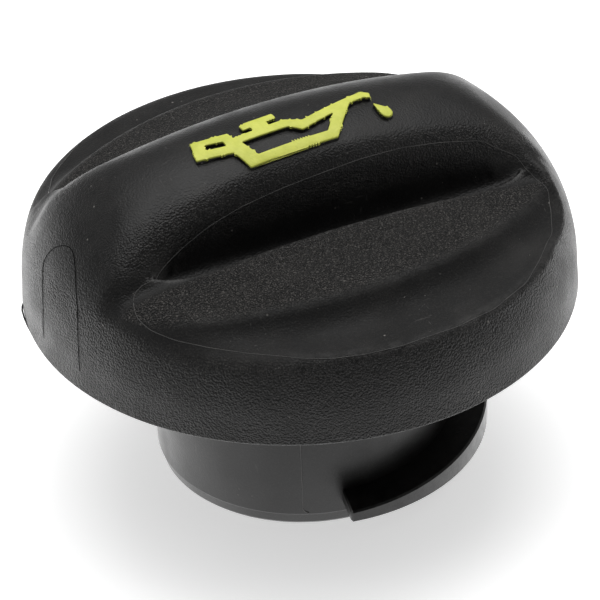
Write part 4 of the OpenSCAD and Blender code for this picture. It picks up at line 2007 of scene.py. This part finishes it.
@dataclass
class Studio:
    """Pale floor, soft lamps, surroundings and the camera."""

    azimuth: float = -25.0
    elevation: float = 34.17
    distance: float = 0.402
    roll: float = -2.117
    lens: float = 199.84
    sensor: float = 36.0
    shift: Pair = (0.0001, -0.0345)
    lamps: tuple[Lamp, ...] = (
        Lamp("left_softbox", -122.0, 7.0, 0.55, (0.45, 0.22), 0.5),
        Lamp("right_softbox", 62.0, 8.0, 0.55, (0.40, 0.20), 0.3),
        Lamp("overhead_softbox", 155.0, 70.0, 0.6, (0.6, 0.5), 2.2),
    )
    lamp_target: Triple = (0.0, 0.0, 0.022)
    skew: float = 9.0
    horizon_front: float = 0.10
    horizon_back: float = 0.22
    overhead: float = 1.4
    card_back: float = 2.4
    card_near: float = 0.62
    card_far: float = 0.25
    horizon_turn: Pair = (-0.5, 0.25)
    overhead_height: Pair = (0.60, 0.90)
    overhead_turn: Pair = (0.08, 0.42)
    card_turn: Pair = (-0.06, 0.10)
    card_fall: Pair = (0.14, 0.42)
    floor_half: float = 1.6
    floor_glow: float = 0.55
    white: tuple[float, float, float, float] = (1.0, 1.0, 1.0, 1.0)

    @staticmethod
    def aim(azimuth: float, elevation: float) -> Vector:
        """Unit vector towards a direction given in degrees, azimuth 0 being in front.

        Args:
            azimuth: Angle round the object.
            elevation: Angle above the floor.

        Returns:
            The vector.
        """
        a, e = math.radians(azimuth), math.radians(elevation)
        return Vector((math.sin(a) * math.cos(e), -math.cos(a) * math.cos(e), math.sin(e)))

    def camera(self) -> None:
        """Sets the camera at the photograph's viewing angle."""
        data = bpy.data.cameras.new("camera")
        data.lens, data.sensor_width, data.sensor_fit = self.lens, self.sensor, "HORIZONTAL"
        data.shift_x, data.shift_y = self.shift
        data.clip_start, data.clip_end = 0.01, 20.0
        obj = Maker.linked("camera", data)
        back = self.aim(self.azimuth, self.elevation)
        right = Vector((0.0, 0.0, 1.0)).cross(back).normalized()
        up = back.cross(right)
        c, s = math.cos(math.radians(self.roll)), math.sin(math.radians(self.roll))
        turned_right, turned_up = right * c + up * s, up * c - right * s
        spot = Vector((0.0, 0.0, NECK_DROP * MM)) + back * self.distance
        axes = Matrix((turned_right, turned_up, back)).transposed().to_4x4()
        obj.matrix_world = Matrix.Translation(spot) @ axes
        bpy.context.scene.camera = obj

    def light(self) -> None:
        """Sets the lamps, which no surface mirrors."""
        target = Vector(self.lamp_target)
        for lamp in self.lamps:
            data = bpy.data.lights.new(lamp.name, "AREA")
            data.shape, data.size, data.size_y = "RECTANGLE", lamp.size[0], lamp.size[1]
            data.energy = lamp.power
            obj = Maker.linked(lamp.name, data)
            obj.visible_glossy = False
            way = self.aim(lamp.azimuth, lamp.elevation)
            obj.location = target + way * lamp.distance
            obj.rotation_euler = way.to_track_quat("Z", "Y").to_euler()

    def _towards_front(self, wiring: Wiring, place: bpy.types.NodeSocket) -> bpy.types.NodeSocket:
        """Measures how far a place or a direction lies on the studio's front side.

        Args:
            wiring: Tree that gets the node.
            place: The place or direction.

        Returns:
            The measure's socket.
        """
        inputs = {0: place, 1: self.aim(self.azimuth + self.skew, 0.0)}
        return wiring.node("ShaderNodeVectorMath", inputs, operation="DOT_PRODUCT").outputs["Value"]

    def surroundings(self) -> None:
        """Sets the world: white to the camera, and a studio that is dark behind the camera for the rest."""
        world = bpy.data.worlds.new("studio")
        world.use_nodes = True
        bpy.context.scene.world = world
        sky = Wiring(world.node_tree)
        sky.tree.nodes.clear()
        place = sky.node("ShaderNodeTexCoord").outputs["Generated"]
        ahead = self._towards_front(sky, place)
        height = sky.node("ShaderNodeSeparateXYZ", {0: place}).outputs["Z"]
        low = sky.ramp(ahead, *self.horizon_turn, (self.horizon_back, self.horizon_front))
        above = sky.ramp(height, *self.overhead_height)
        behind = sky.ramp(ahead, *self.overhead_turn, (self.overhead, 0.0))
        level = sky.plus(low, sky.times(above, behind))
        room = sky.node("ShaderNodeBackground", {"Color": self.white, "Strength": level})
        plain = sky.node("ShaderNodeBackground", {"Color": self.white})
        seen = sky.node("ShaderNodeLightPath").outputs["Is Camera Ray"]
        mix = sky.node("ShaderNodeMixShader", {0: seen, 1: room.outputs[0], 2: plain.outputs[0]})
        sky.node("ShaderNodeOutputWorld", {"Surface": mix.outputs[0]})

    def _floor_material(self) -> bpy.types.Material:
        """Pale floor: nearly white to the camera, and a card brighter at the back to mirrored rays."""
        material = bpy.data.materials.new("pale_floor")
        material.use_nodes = True
        w = Wiring(material.node_tree)
        shader = w.tree.nodes["Principled BSDF"]
        tint = w.mix(w.mottle(30.0, 3.0, 0.5, 0.3, 0.7), (0.86, 0.86, 0.86), (0.88, 0.88, 0.88))
        w.tree.links.new(tint, shader.inputs["Base Color"])
        shader.inputs["Roughness"].default_value = 0.9
        shader.inputs["Specular IOR Level"].default_value = 0.1
        path = w.node("ShaderNodeLightPath").outputs
        glow = w.node("ShaderNodeEmission", {"Strength": w.times(path["Is Camera Ray"], self.floor_glow)})
        both = w.node("ShaderNodeAddShader", {0: shader.outputs[0], 1: glow.outputs[0]})
        place = w.place()
        near = w.ramp(self._towards_front(w, place), *self.card_turn, (self.card_back, self.card_near))
        length = w.node("ShaderNodeVectorMath", {0: place}, operation="LENGTH").outputs["Value"]
        level = w.times(near, w.ramp(length, *self.card_fall, (1.0, self.card_far)))
        card = w.node("ShaderNodeEmission", {"Strength": level})
        mirrored = w.math("MAXIMUM", path["Is Glossy Ray"], path["Is Transmission Ray"])
        mix = w.node("ShaderNodeMixShader", {0: mirrored, 1: both.outputs[0], 2: card.outputs[0]})
        w.tree.links.new(mix.outputs[0], w.tree.nodes["Material Output"].inputs["Surface"])
        return material

    def floor(self) -> bpy.types.Object:
        """Makes the floor, on which the object's soft shadow falls."""
        mesh = bpy.data.meshes.new("floor")
        half = self.floor_half
        corners = [(-half, -half, 0), (half, -half, 0), (half, half, 0), (-half, half, 0)]
        mesh.from_pydata(corners, [], [(0, 1, 2, 3)])
        mesh.materials.append(self._floor_material())
        return Maker.linked("floor", mesh)

    def build(self) -> None:
        """Sets up the whole studio."""
        self.camera()
        self.light()
        self.surroundings()
        self.floor()
        bpy.context.scene.view_settings.view_transform = "Standard"


# Putting it together


def report(piece: bpy.types.Object) -> None:
    """Reports a finished piece."""
    LOG.info("%s: %d faces", piece.name, len(piece.data.polygons))


def main() -> None:
    """Builds every piece in order, ties it to the frame and reports it."""
    logging.basicConfig(level=logging.INFO, format="%(message)s")
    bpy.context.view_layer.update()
    effects = Effects()
    head_plastic = MouldedPlastic(PlasticLook("head_plastic_grained"), effects).material
    smooth = {"grain_depth": 0.00001}
    neck_look = PlasticLook(
        "neck_plastic_smooth", rough=0.38, plain_grain=0.6, dust=0.35, wear=0.35, scuffs=0.3, **smooth
    )
    neck_plastic = MouldedPlastic(neck_look, effects).material
    film = SymbolFilm(effects).material
    rubber = SealRubber(effects).material
    lint = Lint(effects).material
    # Lighter grey plastic for thin beads: painted highlight along the scoop's outline crease and the neck's
    # parting line.
    painted_highlight_look = PlasticLook(
        "mould_edge_painted_highlight", dark=(0.04, 0.04, 0.04), light=(0.08, 0.077, 0.074), rough=0.34, **smooth
    )
    painted_highlight_plastic = MouldedPlastic(painted_highlight_look, effects).material
    gap = MouldGap(effects).material
    neck, head = Neck(), Head()

    shell = head.build(head_plastic)
    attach(shell, "root")
    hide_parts("grip_cap")
    report(shell)

    for name, piece in Symbol().build(head_plastic, film).items():
        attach(piece, "root")
        if name == "can_print":
            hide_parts("can_film")
        if name == "drop_print":
            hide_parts("drop_film")
        report(piece)

    parts = neck.build(neck_plastic)
    parts.append(TurnedWebs().brace("neck_cross_webs", neck, neck_plastic))
    for piece in parts:
        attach(piece, "root")
        report(piece)
    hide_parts("bayonet_neck")

    beads, marks = BeadOnPath(), MouldMarks()
    outlines = [head.settle(marks.outline), head.settle(marks.other_side())]
    parting = neck.seam(marks.parting_turn, marks.parting_foot, marks.parting_hook)
    gaps = [neck.seam(turn, marks.gap_foot, 0.0) for turn in marks.gap_turns]
    # The beads in the gap finish are dark with painted shade of hairline gaps, and those in the lighter edge
    # finish carry a painted highlight along the crease and the parting line.
    lines = {
        "insert_witness_line": ([head.settle(marks.insert)], marks.line_r, gap, "head_plastic"),
        "scoop_outline_edge": (outlines, marks.line_r, painted_highlight_plastic, "head_plastic"),
        "flash_sliver": ([marks.sliver()], marks.flash_r, head_plastic, "head_plastic"),
        "neck_parting_line": ([parting], marks.parting_r, painted_highlight_plastic, "neck_plastic"),
        "neck_gap_line": (gaps, marks.gap_r, gap, "neck_plastic"),
    }
    for name, (paths, radius, finish, slot) in lines.items():
        line = beads.lay(name, paths, radius, finish)
        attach(line, "root")
        report(line)

    ring = Seal().build(rubber)
    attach(ring, "root")
    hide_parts("sealing_ring")
    report(ring)

    motes = SettledMotes().scatter("dust_motes", shell.data, lint, density=26000.0, size=0.05, seed=11)
    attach(motes, "root")
    report(motes)

    Studio().build()
    bpy.context.view_layer.update()


if __name__ == "__main__":
    main()
